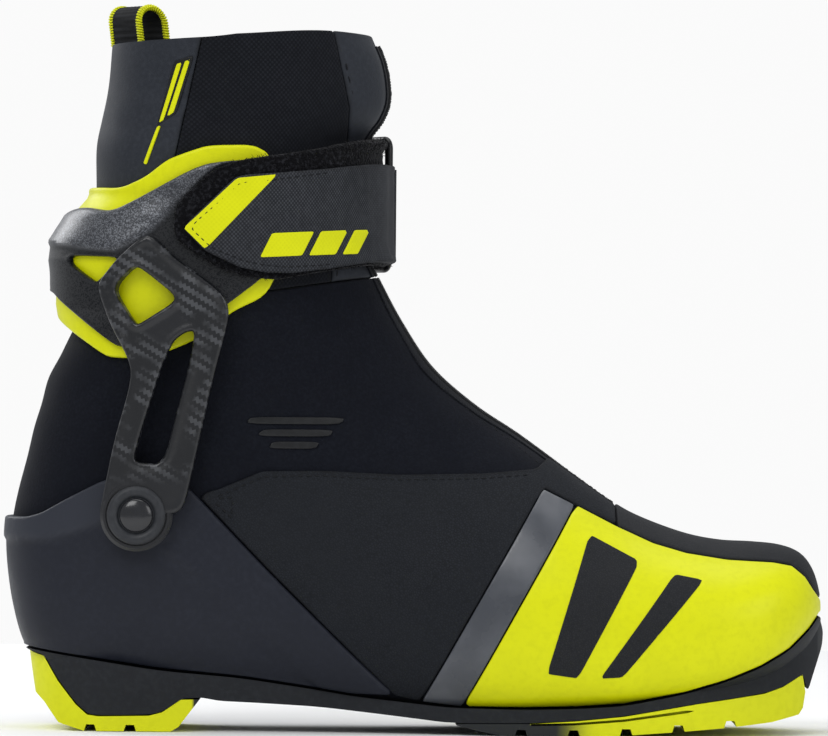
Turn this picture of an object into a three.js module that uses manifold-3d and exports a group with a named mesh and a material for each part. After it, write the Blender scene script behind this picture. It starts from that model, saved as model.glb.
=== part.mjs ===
// A cross country ski boot for skating, right foot: a soft boot on a ribbed sole, with a hinged ankle cuff.
// Millimetres. +X points to the toe, -Y to the outer (lateral) side, +Z up.
import * as THREE from "three";
import { mergeVertices } from "three/addons/utils/BufferGeometryUtils.js";
import Module from "manifold-3d";

const wasm = await Module();
wasm.setup();

// ---------------------------------------------------------------- driving sizes
const BOOT_LENGTH = 296; // heel tread to toe bumper
const BOOT_HEIGHT = 252; // ground to the middle of the collar rim
const BALL_WIDTH = 97; // soft upper at the ball of the foot

const GAP = 0.3; // clearance between two pieces that touch on the real boot
const SOFTSHELL = 2.0;
const LINER = 2.2;
const OVERLAY = 1.3;
const COUNTER = 2.3;
const SOLE_WRAP = 2.0; // how far the sole's edge stands out from the upper
const CUFF_LINING = 2.4;
const CUFF_SHELL = 2.5;
const ARM = 3.5;
const STRAP = 2.2;
const FLAP = 2.0;
const ZIP_TAPE = 0.9;
const ZIP_COIL = 1.2;
const FRONT_STRAP_INSET = 1.0; // the strap lies closer to the boot in front than over the cuff
const INSOLE_BOARD = 2.0;
const FOOTBED = 3.5;
const TONGUE = 4.0;
const EYESTAY = 1.6;

const PIVOT_PIN_RADIUS = 4.0;
const PIVOT_PLAY = 0.4; // radial clearance of the bush on its pin
const BUSH_WALL = 1.8;
const EYE_RADIUS = 13.0;
const CAP_RADIUS = 10.5;
const CAP_DOME_RADIUS = 5.8;
const CAP_THICKNESS = 2.2;
const BOSS_HEIGHT = 2.4; // the counter's boss under each arm
const EYE_EXTRA = 0.6; // how much thicker the eye is than its arm
const CAP_DOME_HEIGHT = 1.6;

const TOE_BAR_RADIUS = 2.0;
const TOE_BAR_LENGTH = 34;
const BINDING_RECESS_WIDTH = 27;
const BINDING_RECESS_REACH = 5; // ahead of the bar and behind it
const RIDGE_GROOVE_WIDTH = 6;
const RIDGE_GROOVE_SPACING = 24;
const RIDGE_GROOVE_DEPTH = 2.2;
const LUG_PITCH = 18.8;
const LUG_GROOVE_WIDTH = 4.4;
const LUG_GROOVE_DEPTH = 2.3;
const LUG_FLARE = 0.7; // how much wider a lug groove is at the ground, each side
const HEEL_LUG_SHARES = [0.27, 0.6]; // where the heel's two grooves lie along its tread
const FOREFOOT_LUG_START = 38;

const RING_WIRE_RADIUS = 1.5;
const RING_HEIGHT = 50;
const RING_SLEEVE_WALL = 1.6;
const RIVET_RADIUS = 2.2;
const RIVET_HEAD = 1.4;
const ZIP_WIDTH = 14;
const COIL_WIDTH = 4.6;
const SLIDER_WIDTH = 8.4;
const SLIDER_LENGTH = 10;
const LOOP_WIDTH = 19;
const LOOP_SPAN = 13;
const LOOP_HEIGHT = 24;
const LOOP_WEBBING = 1.5;

// The layers, each counted outwards from the softshell's outer face.
const stack = (inner, thickness) => ({ inner, outer: inner + thickness });
const LAYER = {
  softshell: stack(-SOFTSHELL, SOFTSHELL),
  liner: stack(-SOFTSHELL - GAP - LINER, LINER),
  overlay: stack(GAP, OVERLAY),
  counter: stack(GAP, COUNTER),
  cuffLining: stack(2 * GAP, CUFF_LINING),
};
LAYER.cuffShell = stack(LAYER.cuffLining.outer + GAP, CUFF_SHELL);
LAYER.arm = stack(Math.max(LAYER.cuffShell.outer, LAYER.counter.outer + BOSS_HEIGHT) + GAP, ARM);
LAYER.pad = stack(LAYER.cuffShell.outer + GAP, STRAP);
LAYER.flap = stack(LAYER.pad.outer + GAP, FLAP);
LAYER.zipTape = stack(GAP, ZIP_TAPE);
LAYER.zipCoil = stack(LAYER.zipTape.outer + GAP, ZIP_COIL);
LAYER.insoleBoard = stack(LAYER.liner.inner - GAP - INSOLE_BOARD, INSOLE_BOARD);
LAYER.footbed = stack(LAYER.insoleBoard.inner - GAP - FOOTBED, FOOTBED);
LAYER.tongue = stack(LAYER.liner.inner - GAP - TONGUE, TONGUE);
LAYER.eyestay = stack(LAYER.liner.inner - GAP - EYESTAY, EYESTAY);

// Outlines are drawn for a boot of this size and stretched to the sizes above.
const DRAWN = { length: 296, height: 252, width: 97 };
const stretchX = (x) => (x * BOOT_LENGTH) / DRAWN.length;
const stretchY = (y) => (y * BALL_WIDTH) / DRAWN.width;
const stretchZ = (z) => (z * BOOT_HEIGHT) / DRAWN.height;
const side = (points) => points.map(([x, z]) => new THREE.Vector2(stretchX(x), stretchZ(z)));

const PIVOT = { x: stretchX(-100.4), z: stretchZ(78) };
const FAN = { x: stretchX(51), z: stretchZ(175) }; // where the boot's slanted sections all meet
const TOE_TIP = { x: stretchX(145.6), z: stretchZ(44.5) };
const RIM = { height: stretchZ(250.3), x: stretchX(-66), slope: 0.054 };

// ---------------------------------------------------------------- side outlines of the soft boot
const FRONT_LINE = side([
  [-23, 262], [-17.6, 247], [-13.5, 237.3], [-12, 227.2], [-14.2, 220.7], [-18.4, 215.5],
  [-20.6, 211], [-20.6, 202], [-20.6, 193], [-20.6, 184], [-20.6, 176], [-19, 170], [-15.8, 163.5],
  [-7, 147.3], [4.3, 130.9], [19.9, 117.3], [36.6, 106.3], [56.8, 91.7], [71.7, 81.4],
  [82.2, 76.1], [97.3, 70.8], [110, 68.4], [121.8, 67.8], [131.6, 66.8], [138.4, 64.3],
  [142.4, 59.6], [144.8, 52.5], [145.6, 44.5],
]);
const BACK_LINE = side([
  [-111, 258], [-111.9, 247.6], [-113.2, 231.8], [-115.6, 220.2], [-117.3, 209.4], [-117.2, 195.7],
  [-117, 180.6], [-119, 162.6], [-125, 145.3], [-134.2, 126.5], [-140.2, 104.8], [-144.7, 86.8],
  [-147, 74.2], [-147, 61.6], [-144.7, 45.4], [-140.3, 31], [-132.3, 21.4], [-113.6, 18.6],
  [-91.9, 16.3], [-63.1, 14.4], [-37.5, 11.7], [-5.5, 8.4], [23.3, 6.8], [58.3, 7.8],
  [96.4, 12.8], [124, 20.2], [137.6, 29.4], [143.7, 37.7], [145.6, 44.5],
]);

// Sections along the boot: half widths, where the widest point lies, and how square each end is.
const SECTIONS = [
  { at: 0.0, lateral: 40, medial: 40, widest: 0.5, frontPower: 2.2, backPower: 2.2, shift: 0 },
  { at: 0.5, lateral: 39, medial: 39, widest: 0.5, frontPower: 2.2, backPower: 2.3, shift: 0 },
  { at: 1.0, lateral: 37.5, medial: 37.5, widest: 0.52, frontPower: 2.1, backPower: 2.4, shift: 0 },
  { at: 1.2, lateral: 36.5, medial: 36.5, widest: 0.58, frontPower: 2.0, backPower: 2.4, shift: 0 },
  { at: 1.36, lateral: 36, medial: 36, widest: 0.64, frontPower: 2.0, backPower: 2.4, shift: 0 },
  { at: 1.5, lateral: 36, medial: 36, widest: 0.64, frontPower: 1.9, backPower: 2.9, shift: 0 },
  { at: 1.7, lateral: 38.5, medial: 37, widest: 0.64, frontPower: 1.9, backPower: 3.4, shift: 0 },
  { at: 1.85, lateral: 43.5, medial: 40.5, widest: 0.63, frontPower: 1.9, backPower: 3.8, shift: 0 },
  { at: 2.0, lateral: 47.5, medial: 45, widest: 0.62, frontPower: 2.0, backPower: 4, shift: 0.5 },
  { at: 2.2, lateral: 49.5, medial: 47.5, widest: 0.6, frontPower: 2.1, backPower: 4, shift: 1.5 },
  { at: 2.4, lateral: 48, medial: 47.5, widest: 0.58, frontPower: 2.2, backPower: 3.8, shift: 3 },
  { at: 2.6, lateral: 41.5, medial: 42.5, widest: 0.56, frontPower: 2.3, backPower: 3.2, shift: 4 },
  { at: 2.8, lateral: 28, medial: 30, widest: 0.52, frontPower: 2.3, backPower: 2.6, shift: 4.5 },
  { at: 2.93, lateral: 14, medial: 15, widest: 0.5, frontPower: 2.2, backPower: 2.2, shift: 4.5 },
  { at: 3.0, lateral: 0, medial: 0, widest: 0.5, frontPower: 2.1, backPower: 2.1, shift: 4.5 },
];

// The layers' facets share these stations and angles, so that they stay parallel.
const STATIONS = [
  0, 0.2, 0.4, 0.6, 0.8, 1, 1.1, 1.2, 1.28, 1.35, 1.4, 1.45, 1.52, 1.62, 1.74, 1.88,
  2, 2.14, 2.28, 2.42, 2.56, 2.7, 2.82, 2.93, 3,
];
const AROUND = 20;
const ANGLE_STEP = 360 / AROUND;
const COARSE_STEP = 2 * ANGLE_STEP; // for the collar's lining, which nothing inside follows

// ---------------------------------------------------------------- the boot's own surface
function denseLine(points, count) {
  return new THREE.SplineCurve(points).getPoints(count);
}

const FRONT_DENSE = denseLine(FRONT_LINE, 420);
const BACK_DENSE = denseLine(BACK_LINE, 420);

// Distance along a ray from origin in direction d to a side outline.
function reach(outline, origin, d) {
  for (let i = 1; i < outline.length; i += 1) {
    const a = outline[i - 1].clone().sub(origin);
    const b = outline[i].clone().sub(origin);
    const offA = d.cross(a);
    const offB = d.cross(b);
    if (offA * offB > 0 || offA === offB) continue;
    const hit = a.lerp(b, offA / (offA - offB)).dot(d);
    if (hit > -1e-6) return hit;
  }
  throw new Error("a section misses the side outline");
}

// The plane of a station: level through the shaft, fanned through the ankle, upright through the toe.
function plane(at) {
  const level = 1 - Math.min(at, 1);
  const turn = (THREE.MathUtils.clamp(at - 1, 0, 1) * Math.PI) / 2;
  const along = THREE.MathUtils.clamp(at - 2, 0, 1);
  const rise = RIM.height + RIM.slope * (FAN.x - RIM.x) - FAN.z;
  const origin = new THREE.Vector2(
    FAN.x + (TOE_TIP.x - FAN.x) * Math.sin((along * Math.PI) / 2),
    FAN.z + level * rise,
  );
  const d = new THREE.Vector2(-Math.cos(turn), -Math.sin(turn) - RIM.slope * level).normalize();
  return { origin, d };
}

function sectionSizes(at) {
  const last = SECTIONS.length - 1;
  const i = Math.max(0, Math.min(last - 1, SECTIONS.findIndex((s) => s.at > at) - 1));
  const k = at >= SECTIONS[last].at ? last - 1 : i;
  const [p, a, b, q] = [k - 1, k, k + 1, k + 2].map((n) => SECTIONS[THREE.MathUtils.clamp(n, 0, last)]);
  const t = (at - a.at) / (b.at - a.at);
  const blend = (key) => {
    const slopeA = ((b[key] - p[key]) / (b.at - p.at || 1)) * (b.at - a.at);
    const slopeB = ((q[key] - a[key]) / (q.at - a.at || 1)) * (b.at - a.at);
    const t2 = t * t;
    const t3 = t2 * t;
    return (
      (2 * t3 - 3 * t2 + 1) * a[key] + (t3 - 2 * t2 + t) * slopeA
      + (3 * t2 - 2 * t3) * b[key] + (t3 - t2) * slopeB
    );
  };
  return Object.fromEntries(Object.keys(a).map((key) => [key, blend(key)]));
}

const stationCache = new Map();
function station(at) {
  if (stationCache.has(at)) return stationCache.get(at);
  const { origin, d } = plane(at);
  const atTip = at > 3 - 1e-9;
  const near = atTip ? origin.y - TOE_TIP.z : reach(FRONT_DENSE, origin, d);
  const far = atTip ? near : reach(BACK_DENSE, origin, d);
  const made = { origin, d, near, far, ...sectionSizes(at) };
  stationCache.set(at, made);
  return made;
}

// A point of the softshell's outer face. The angle runs from the front (0) to the back or sole (180),
// negative on the lateral side.
function surfacePoint(at, degrees) {
  const s = station(at);
  const angle = THREE.MathUtils.degToRad(degrees);
  const c = Math.cos(angle);
  const power = 2 / (c > 0 ? s.frontPower : s.backPower);
  const reachFromWidest = Math.sign(c) * Math.abs(c) ** power;
  const share = c > 0 ? s.widest : 1 - s.widest;
  const r = s.near + (s.far - s.near) * (s.widest - share * reachFromWidest);
  const half = Math.sin(angle) < 0 ? s.lateral : s.medial;
  const y = half * Math.sign(Math.sin(angle)) * Math.abs(Math.sin(angle)) ** power + s.shift;
  return new THREE.Vector3(s.origin.x + s.d.x * r, stretchY(y), s.origin.y + s.d.y * r);
}

function surfaceNormal(at, degrees) {
  if (at > 3 - 1e-9) return new THREE.Vector3(1, 0, 0);
  const step = 0.01;
  const low = Math.max(0, at - step);
  const high = Math.min(2.995, at + step);
  const along = surfacePoint(high, degrees).sub(surfacePoint(low, degrees));
  const turn = 1.5;
  const across = surfacePoint(at, degrees + turn).sub(surfacePoint(at, degrees - turn));
  return along.cross(across).normalize();
}

const frameCache = new Map();
function offsetPoint(at, degrees, distance) {
  const key = `${at}/${degrees}`;
  if (!frameCache.has(key)) {
    frameCache.set(key, { point: surfacePoint(at, degrees), normal: surfaceNormal(at, degrees) });
  }
  const { point, normal } = frameCache.get(key);
  return point.clone().addScaledVector(normal, distance);
}

// ---------------------------------------------------------------- closed meshes and booleans
function geometryOf(vertices, triangles) {
  const geometry = new THREE.BufferGeometry();
  geometry.setAttribute("position", new THREE.Float32BufferAttribute(vertices, 3));
  geometry.setIndex(triangles);
  return geometry;
}

function solidOf(geometry) {
  const bare = geometry.clone();
  for (const name of Object.keys(bare.attributes)) {
    if (name !== "position") bare.deleteAttribute(name);
  }
  const merged = mergeVertices(bare, 1e-4);
  return new wasm.Manifold(new wasm.Mesh({
    numProp: 3,
    vertProperties: merged.attributes.position.array,
    triVerts: new Uint32Array(merged.index.array),
  }));
}

function geometryOfSolid(solid) {
  const mesh = solid.getMesh();
  return geometryOf(Array.from(mesh.vertProperties), Array.from(mesh.triVerts));
}

// A sheet between two offsets of the surface, over a range of stations and angles.
function sheet({ from = 0, to = 3, start = -180, end = 180, step = ANGLE_STEP, inner, outer }) {
  const rows = STATIONS.filter((at) => at >= from - 1e-9 && at <= to + 1e-9);
  const full = end - start >= 360 - 1e-9;
  const count = Math.round((end - start) / step) + (full ? 0 : 1);
  const angles = Array.from({ length: count }, (_, j) => start + j * step);
  const vertices = [];
  const at = (layer, i, j) => {
    const column = full ? (j + count) % count : j;
    const pole = rows[i] === 3;
    return (layer * rows.length + i) * count + (pole ? 0 : column);
  };
  for (const distance of [inner, outer]) {
    for (const row of rows) {
      for (const angle of angles) {
        const d = typeof distance === "function" ? distance(row, angle) : distance;
        vertices.push(...offsetPoint(row, angle, d).toArray());
      }
    }
  }
  const triangles = [];
  const quad = (a, b, c, d) => {
    if (a !== b && b !== c && a !== c) triangles.push(a, b, c);
    if (a !== c && c !== d && a !== d) triangles.push(a, c, d);
  };
  const columns = full ? count : count - 1;
  for (let i = 0; i < rows.length - 1; i += 1) {
    for (let j = 0; j < columns; j += 1) {
      quad(at(1, i, j), at(1, i + 1, j), at(1, i + 1, j + 1), at(1, i, j + 1));
      quad(at(0, i, j), at(0, i, j + 1), at(0, i + 1, j + 1), at(0, i + 1, j));
    }
  }
  for (let j = 0; j < columns; j += 1) {
    const last = rows.length - 1;
    quad(at(0, 0, j), at(1, 0, j), at(1, 0, j + 1), at(0, 0, j + 1));
    if (rows[last] < 3) quad(at(0, last, j), at(0, last, j + 1), at(1, last, j + 1), at(1, last, j));
  }
  if (!full) {
    for (let i = 0; i < rows.length - 1; i += 1) {
      quad(at(0, i, 0), at(0, i + 1, 0), at(1, i + 1, 0), at(1, i, 0));
      quad(at(0, i, columns), at(1, i, columns), at(1, i + 1, columns), at(0, i + 1, columns));
    }
  }
  return solidOf(geometryOf(vertices, triangles));
}

// Everything inside one offset of the surface, from a station to the toe.
function core(from, distance) {
  const rows = STATIONS.filter((at) => at >= from - 1e-9);
  const vertices = [];
  for (const row of rows) {
    for (let j = 0; j < AROUND; j += 1) {
      vertices.push(...offsetPoint(row, -180 + j * ANGLE_STEP, distance).toArray());
    }
  }
  const triangles = [];
  const at = (i, j) => i * AROUND + (rows[i] === 3 ? 0 : (j + AROUND) % AROUND);
  for (let i = 0; i < rows.length - 1; i += 1) {
    for (let j = 0; j < AROUND; j += 1) {
      triangles.push(at(i, j), at(i + 1, j), at(i + 1, j + 1));
      if (rows[i + 1] < 3) triangles.push(at(i, j), at(i + 1, j + 1), at(i, j + 1));
      else triangles.splice(-3, 3, at(i, j), at(i + 1, j), at(i, j + 1));
    }
  }
  for (let j = 1; j < AROUND - 1; j += 1) triangles.push(at(0, 0), at(0, j), at(0, j + 1));
  return solidOf(geometryOf(vertices, triangles));
}

const WIDE = 2 * BALL_WIDTH;
const LATERAL = [-WIDE, 0];
const MEDIAL = [0, WIDE];
const BOTH = [-WIDE, WIDE];

// A side outline carried straight across, between two values of Y.
function prism(points, [low, high] = BOTH) {
  const geometry = new THREE.ExtrudeGeometry(new THREE.Shape(points), {
    depth: high - low,
    bevelEnabled: false,
  });
  geometry.rotateX(Math.PI / 2);
  geometry.translate(0, high, 0);
  return solidOf(geometry);
}

function box(x, y, z) {
  const geometry = new THREE.BoxGeometry(x[1] - x[0], y[1] - y[0], z[1] - z[0]);
  geometry.translate((x[0] + x[1]) / 2, (y[0] + y[1]) / 2, (z[0] + z[1]) / 2);
  return solidOf(geometry);
}

// A turned piece about the Y axis through (x, z): the profile holds [radius, y] from axis to axis.
function turned(profile, x, z, segments = 20) {
  const points = profile.map(([radius, y]) => new THREE.Vector2(radius, y));
  const geometry = new THREE.LatheGeometry(points, segments);
  geometry.translate(x, 0, z);
  return solidOf(geometry);
}

function disc(radius, x, z, low, high, segments = 20) {
  return turned([[0, low], [radius, low], [radius, high], [0, high]], x, z, segments);
}

const union = (first, ...rest) => rest.reduce((all, next) => all.add(next), first);
const moved = (points, dx, dz) => points.map((p) => new THREE.Vector2(p.x + dx, p.y + dz));

// ---------------------------------------------------------------- the assembly
const group = new THREE.Group();

const FINISH = {
  softshell: { color: 0x17191e, roughness: 0.85, metalness: 0 },
  coatedFabric: { color: 0x3c4147, roughness: 0.6, metalness: 0 },
  stretchFabric: { color: 0x1d2025, roughness: 0.9, metalness: 0 },
  synthetic: { color: 0x2c2f33, roughness: 0.6, metalness: 0 },
  counterPlastic: { color: 0x353842, roughness: 0.45, metalness: 0 },
  limePlastic: { color: 0xe1e400, roughness: 0.5, metalness: 0 },
  metallicPlastic: { color: 0x4a4c54, roughness: 0.35, metalness: 0.6 },
  carbon: { color: 0x1b1d20, roughness: 0.35, metalness: 0.1 },
  glossPrint: { color: 0x5a5b5e, roughness: 0.3, metalness: 0.2 },
  soleRubber: { color: 0x323638, roughness: 0.75, metalness: 0 },
  pile: { color: 0x0e0f10, roughness: 1, metalness: 0 },
  steel: { color: 0xb0b2b5, roughness: 0.3, metalness: 1 },
  blackPlastic: { color: 0x121315, roughness: 0.4, metalness: 0 },
  foam: { color: 0x5c6068, roughness: 0.95, metalness: 0 },
};

function add(name, solid, finish) {
  const mesh = new THREE.Mesh(geometryOfSolid(solid), new THREE.MeshStandardMaterial(FINISH[finish]));
  mesh.name = name;
  group.add(mesh);
}

// ---------------------------------------------------------------- sole
const RAND_TOP = side([
  [-141.7, 29.2], [-118.7, 25.8], [-91.6, 21.7], [-63.2, 19.4], [-37.6, 15.7], [-22.8, 13.3],
  [-4.8, 11.4], [12.5, 9.6], [38.8, 9.2], [58.2, 9.8], [75.2, 11], [96.4, 15.3], [111.4, 19.8],
  [124, 24.9], [134.4, 30.9], [141.9, 38], [146.2, 43.5],
]);
const BUMPER = side([[148.4, 36.7], [147.9, 32], [145.2, 24.4], [142.1, 15.4]]);
const FORE_SEAM = side([
  [140.2, 22.1], [132.7, 17.8], [125.9, 15.6], [100.7, 12], [75.2, 7.6], [58.3, 5.8], [41.4, 4.6],
  [12.6, 4.2],
]);
const WAIST = side([[-6.9, 6.4], [-35, 9.4], [-58, 10.6], [-70.3, 11.1]]);
const HEEL_SEAM = side([
  [-77.1, 12.3], [-84, 11.9], [-90.8, 7.3], [-95.5, 6.1], [-113.8, 5.7], [-117.8, 6.2],
  [-122.1, 9.9], [-128.8, 18.2], [-134.1, 26.8], [-140.6, 28.5],
]);

const plan = (points) => points.map(([x, y]) => new THREE.Vector2(stretchX(x), stretchY(y)));
const FOOTPRINT = plan([
  [-140.6, 0], [-137, -14], [-126, -26], [-106, -31.5], [-66, -30], [-20, -32], [22, -39.5],
  [60, -44.5], [90, -43], [115, -36], [134, -23], [145, -8], [148.4, 4.5], [145, 17], [134, 30],
  [115, 40.5], [90, 44.5], [60, 42.5], [22, 35], [-20, 29], [-66, 29], [-106, 31], [-126, 26],
  [-137, 14],
]);

function footprintBlock() {
  const outline = new THREE.SplineCurve([...FOOTPRINT, FOOTPRINT[0]]).getPoints(56);
  return solidOf(new THREE.ExtrudeGeometry(new THREE.Shape(outline.slice(0, -1)), {
    depth: TOE_TIP.z,
    bevelEnabled: false,
  }));
}

const TREAD_BLOCK = footprintBlock();

function soleChassis() {
  const outline = prism([...RAND_TOP, ...BUMPER, ...FORE_SEAM, ...WAIST, ...HEEL_SEAM]);
  const wrap = core(1.2, GAP + SOLE_WRAP);
  return union(wrap, TREAD_BLOCK).intersect(outline).subtract(core(1.1, GAP));
}

// Grooves for the binding's two ridges, following the tread's underside.
function ridgeGrooves(underside) {
  const band = [...moved(underside, 0, -1), ...moved(underside, 0, RIDGE_GROOVE_DEPTH).reverse()];
  return [-1, 1].map((s) => {
    const middle = (s * RIDGE_GROOVE_SPACING) / 2;
    return prism(band, [middle - RIDGE_GROOVE_WIDTH / 2, middle + RIDGE_GROOVE_WIDTH / 2]);
  });
}

function lugGroove(x, z) {
  const half = LUG_GROOVE_WIDTH / 2;
  const top = z + LUG_GROOVE_DEPTH;
  return prism([
    new THREE.Vector2(x - half - LUG_FLARE, z - 2),
    new THREE.Vector2(x + half + LUG_FLARE, z - 2),
    new THREE.Vector2(x + half - LUG_FLARE, top),
    new THREE.Vector2(x - half + LUG_FLARE, top),
  ]);
}

function heelTread() {
  const underside = side([[-128.7, 2.7], [-119.5, 0], [-112, 0], [-98, 0], [-88, 0], [-85.2, 1.6]]);
  const outline = [
    ...side([[-140.3, 27.9], [-137.5, 13.2], [-134, 9.8]]),
    ...underside,
    ...side([[-77.6, 11.6]]),
    ...moved(HEEL_SEAM, -GAP, -1.5 * GAP).slice(1, -1),
  ];
  let tread = prism(outline).intersect(TREAD_BLOCK);
  for (const groove of ridgeGrooves(underside.slice(1))) tread = tread.subtract(groove);
  for (const share of HEEL_LUG_SHARES) {
    const x = THREE.MathUtils.lerp(underside[0].x, underside[5].x, share);
    tread = tread.subtract(lugGroove(x, 0));
  }
  return tread.subtract(core(1.1, GAP));
}

const TOE_BAR = { x: stretchX(133), z: stretchZ(11.2) };

function forefootTread() {
  const underside = side([
    [15, 3.4], [22, 1.6], [30.6, 0], [60, 0], [74.5, 0.5], [92.1, 1.7], [111.6, 3.2], [128.5, 5],
    [138.7, 7.4],
  ]);
  const outline = [
    ...underside,
    ...side([[140.3, 9.8], [141.2, 15.4]]),
    ...moved(FORE_SEAM, -GAP / 2, -GAP).slice(0, -1),
    ...side([[14.5, 3.9]]),
  ];
  let tread = prism(outline).intersect(TREAD_BLOCK);
  for (const groove of ridgeGrooves(underside)) tread = tread.subtract(groove);
  const undersideCurve = new THREE.SplineCurve(underside);
  for (let i = 0; i < 5; i += 1) {
    const x = stretchX(FOREFOOT_LUG_START) + i * LUG_PITCH;
    const heights = undersideCurve.getPoints(200).filter((p) => p.x >= x);
    if (heights.length && x < TOE_BAR.x - LUG_PITCH / 2) tread = tread.subtract(lugGroove(x, heights[0].y));
  }
  const half = BINDING_RECESS_WIDTH / 2;
  const recess = box(
    [TOE_BAR.x - BINDING_RECESS_REACH, TOE_BAR.x + BINDING_RECESS_REACH],
    [-half, half],
    [-1, TOE_BAR.z + TOE_BAR_RADIUS + 1],
  );
  const seat = disc(
    TOE_BAR_RADIUS + GAP, TOE_BAR.x, TOE_BAR.z, -TOE_BAR_LENGTH / 2 - GAP, TOE_BAR_LENGTH / 2 + GAP, 16,
  );
  return tread.subtract(recess).subtract(seat).subtract(core(1.1, GAP));
}

add("sole_chassis", soleChassis(), "soleRubber");
add("heel_tread", heelTread(), "limePlastic");
add("forefoot_tread", forefootTread(), "soleRubber");
add(
  "toe_bar",
  disc(TOE_BAR_RADIUS, TOE_BAR.x, TOE_BAR.z, -TOE_BAR_LENGTH / 2, TOE_BAR_LENGTH / 2, 16),
  "steel",
);
add("insole_board", sheet({ from: 1.52, to: 2.82, start: 144, end: 216, ...LAYER.insoleBoard }), "foam");
add("footbed", sheet({ from: 1.52, to: 2.7, start: 144, end: 216, ...LAYER.footbed }), "foam");

// ---------------------------------------------------------------- lower boot
const FAR = 400;
const above = (points) => [
  ...points, new THREE.Vector2(FAR, points.at(-1).y), new THREE.Vector2(FAR, FAR),
  new THREE.Vector2(-FAR, FAR), new THREE.Vector2(-FAR, points[0].y),
];
const below = (points) => [
  new THREE.Vector2(-FAR, points[0].y), new THREE.Vector2(-FAR, -FAR), new THREE.Vector2(FAR, -FAR),
  new THREE.Vector2(FAR, points.at(-1).y), ...[...points].reverse(),
];

// The lower boot's top edge, and the cuff body's lower edge, with the ankle gusset between them.
const LOWER_EDGE = side([[-160, 97], [-14, 97], [14, 119], [42, 143]]);
const CUFF_EDGE = side([[-160, 158], [-60, 158], [12, 169]]);
const EDGE_GAP = 0.5;

const RAND_SEAM = moved(RAND_TOP, 0, 2 * GAP);
const ZIP_HALF = ZIP_WIDTH / 2;
const zipLane = (extra) => box([-FAR, FAR], [-ZIP_HALF - extra, ZIP_HALF + extra], [stretchZ(50), FAR]);

const lowerBoot = prism(below(LOWER_EDGE));
add("upper_softshell", sheet({ from: 1.1, ...LAYER.softshell }).intersect(lowerBoot), "softshell");
add("foot_liner", sheet({ from: 1.1, ...LAYER.liner }).intersect(lowerBoot), "foam");
add("tongue", sheet({ from: 1.28, to: 1.88, start: -36, end: 36, ...LAYER.tongue }), "foam");
for (const [name, start] of [["lateral", -72], ["medial", 54]]) {
  add(
    `inner_eyestay_${name}`,
    sheet({ from: 1.52, to: 2, start, end: start + ANGLE_STEP, ...LAYER.eyestay }),
    "synthetic",
  );
}
add(
  "ankle_gusset",
  sheet({ from: 1, to: 1.88, ...LAYER.softshell })
    .intersect(prism(above(moved(LOWER_EDGE, 0, EDGE_GAP))))
    .intersect(prism(below(moved(CUFF_EDGE, 0, -EDGE_GAP)))),
  "softshell",
);

const COUNTER_EDGE = side([
  [-152, 77], [-141.4, 76.8], [-135.7, 78.3], [-126, 83.7], [-112.1, 90.7], [-96.2, 91.5],
  [-81.7, 87.7], [-77.7, 83.6], [-53.4, 58.3], [-14.6, 20], [-8, 13.6],
]);
const counterOutline = [
  ...COUNTER_EDGE,
  ...RAND_SEAM.filter((p) => p.x < COUNTER_EDGE.at(-1).x).reverse(),
  new THREE.Vector2(stretchX(-152), stretchZ(31)),
];
const HALF_AT_PIVOT = stretchY(35.9); // half width of the softshell at the pivots
const PIVOT_FACE = HALF_AT_PIVOT + LAYER.counter.outer + BOSS_HEIGHT; // outer face of the boss
const EYE = { inner: PIVOT_FACE + GAP, outer: PIVOT_FACE + GAP + ARM + EYE_EXTRA };
const PIN_DEPTH = 4;
const BOSS_ROOT = 0.5; // how deep the boss starts inside the counter's wall
const mirrorY = (solid) => solid.mirror([0, 1, 0]);

function heelCounter() {
  const wall = sheet({ from: 1.1, to: 2.14, start: 54, end: 306, ...LAYER.counter });
  const bossRoot = HALF_AT_PIVOT + LAYER.counter.inner + BOSS_ROOT;
  const boss = disc(EYE_RADIUS - 1.5, PIVOT.x, PIVOT.z, -PIVOT_FACE, -bossRoot);
  const bore = disc(PIVOT_PIN_RADIUS + GAP, PIVOT.x, PIVOT.z, -PIVOT_FACE - 1, -PIVOT_FACE + PIN_DEPTH);
  return wall.intersect(prism(counterOutline)).add(boss).add(mirrorY(boss)).subtract(bore)
    .subtract(mirrorY(bore));
}
add("heel_counter", heelCounter(), "counterPlastic");

// The synthetic side panels, the stripe across each, and the lime wrap and cap over the toe.
const STRIPE_REAR = side([[45.5, 88.5], [2.4, 11.6]]);
const STRIPE_FRONT = side([[56.8, 82.9], [16.6, 9.9]]);
const panelOutline = [
  ...side([
    [-77, 84.8], [-76, 86.1], [-71, 87.5], [-55.7, 94], [-34.5, 94.4], [-6.2, 93.2], [23.3, 93.9],
    [43, 95.7], [51.4, 103], [71.9, 88], [71.9, 76.1],
  ]),
  ...moved([STRIPE_FRONT[0], STRIPE_REAR[0]], 0, 2 * GAP),
  ...moved(STRIPE_REAR, -2 * GAP, 0).slice(1),
  ...moved(COUNTER_EDGE.slice(6), 2 * GAP, 0).reverse(),
];
const stripeOutline = [STRIPE_REAR[0], STRIPE_FRONT[0], STRIPE_FRONT[1], STRIPE_REAR[1]];
const LIME_TOP = side([
  [72.5, 75.2], [85.4, 69.4], [97.2, 66], [112, 63.7], [128.7, 62.8], [135.6, 61.5], [140.5, 57.5],
  [143.5, 53], [147, 48.5],
]);
const limeOutline = [
  ...moved([STRIPE_FRONT[1], STRIPE_FRONT[0]], 2 * GAP, 0),
  ...LIME_TOP,
  ...side([[152, 48.5], [152, 44.6]]),
  ...RAND_SEAM.filter((p) => p.x > STRIPE_FRONT[1].x + 2 * GAP).reverse(),
];
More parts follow.
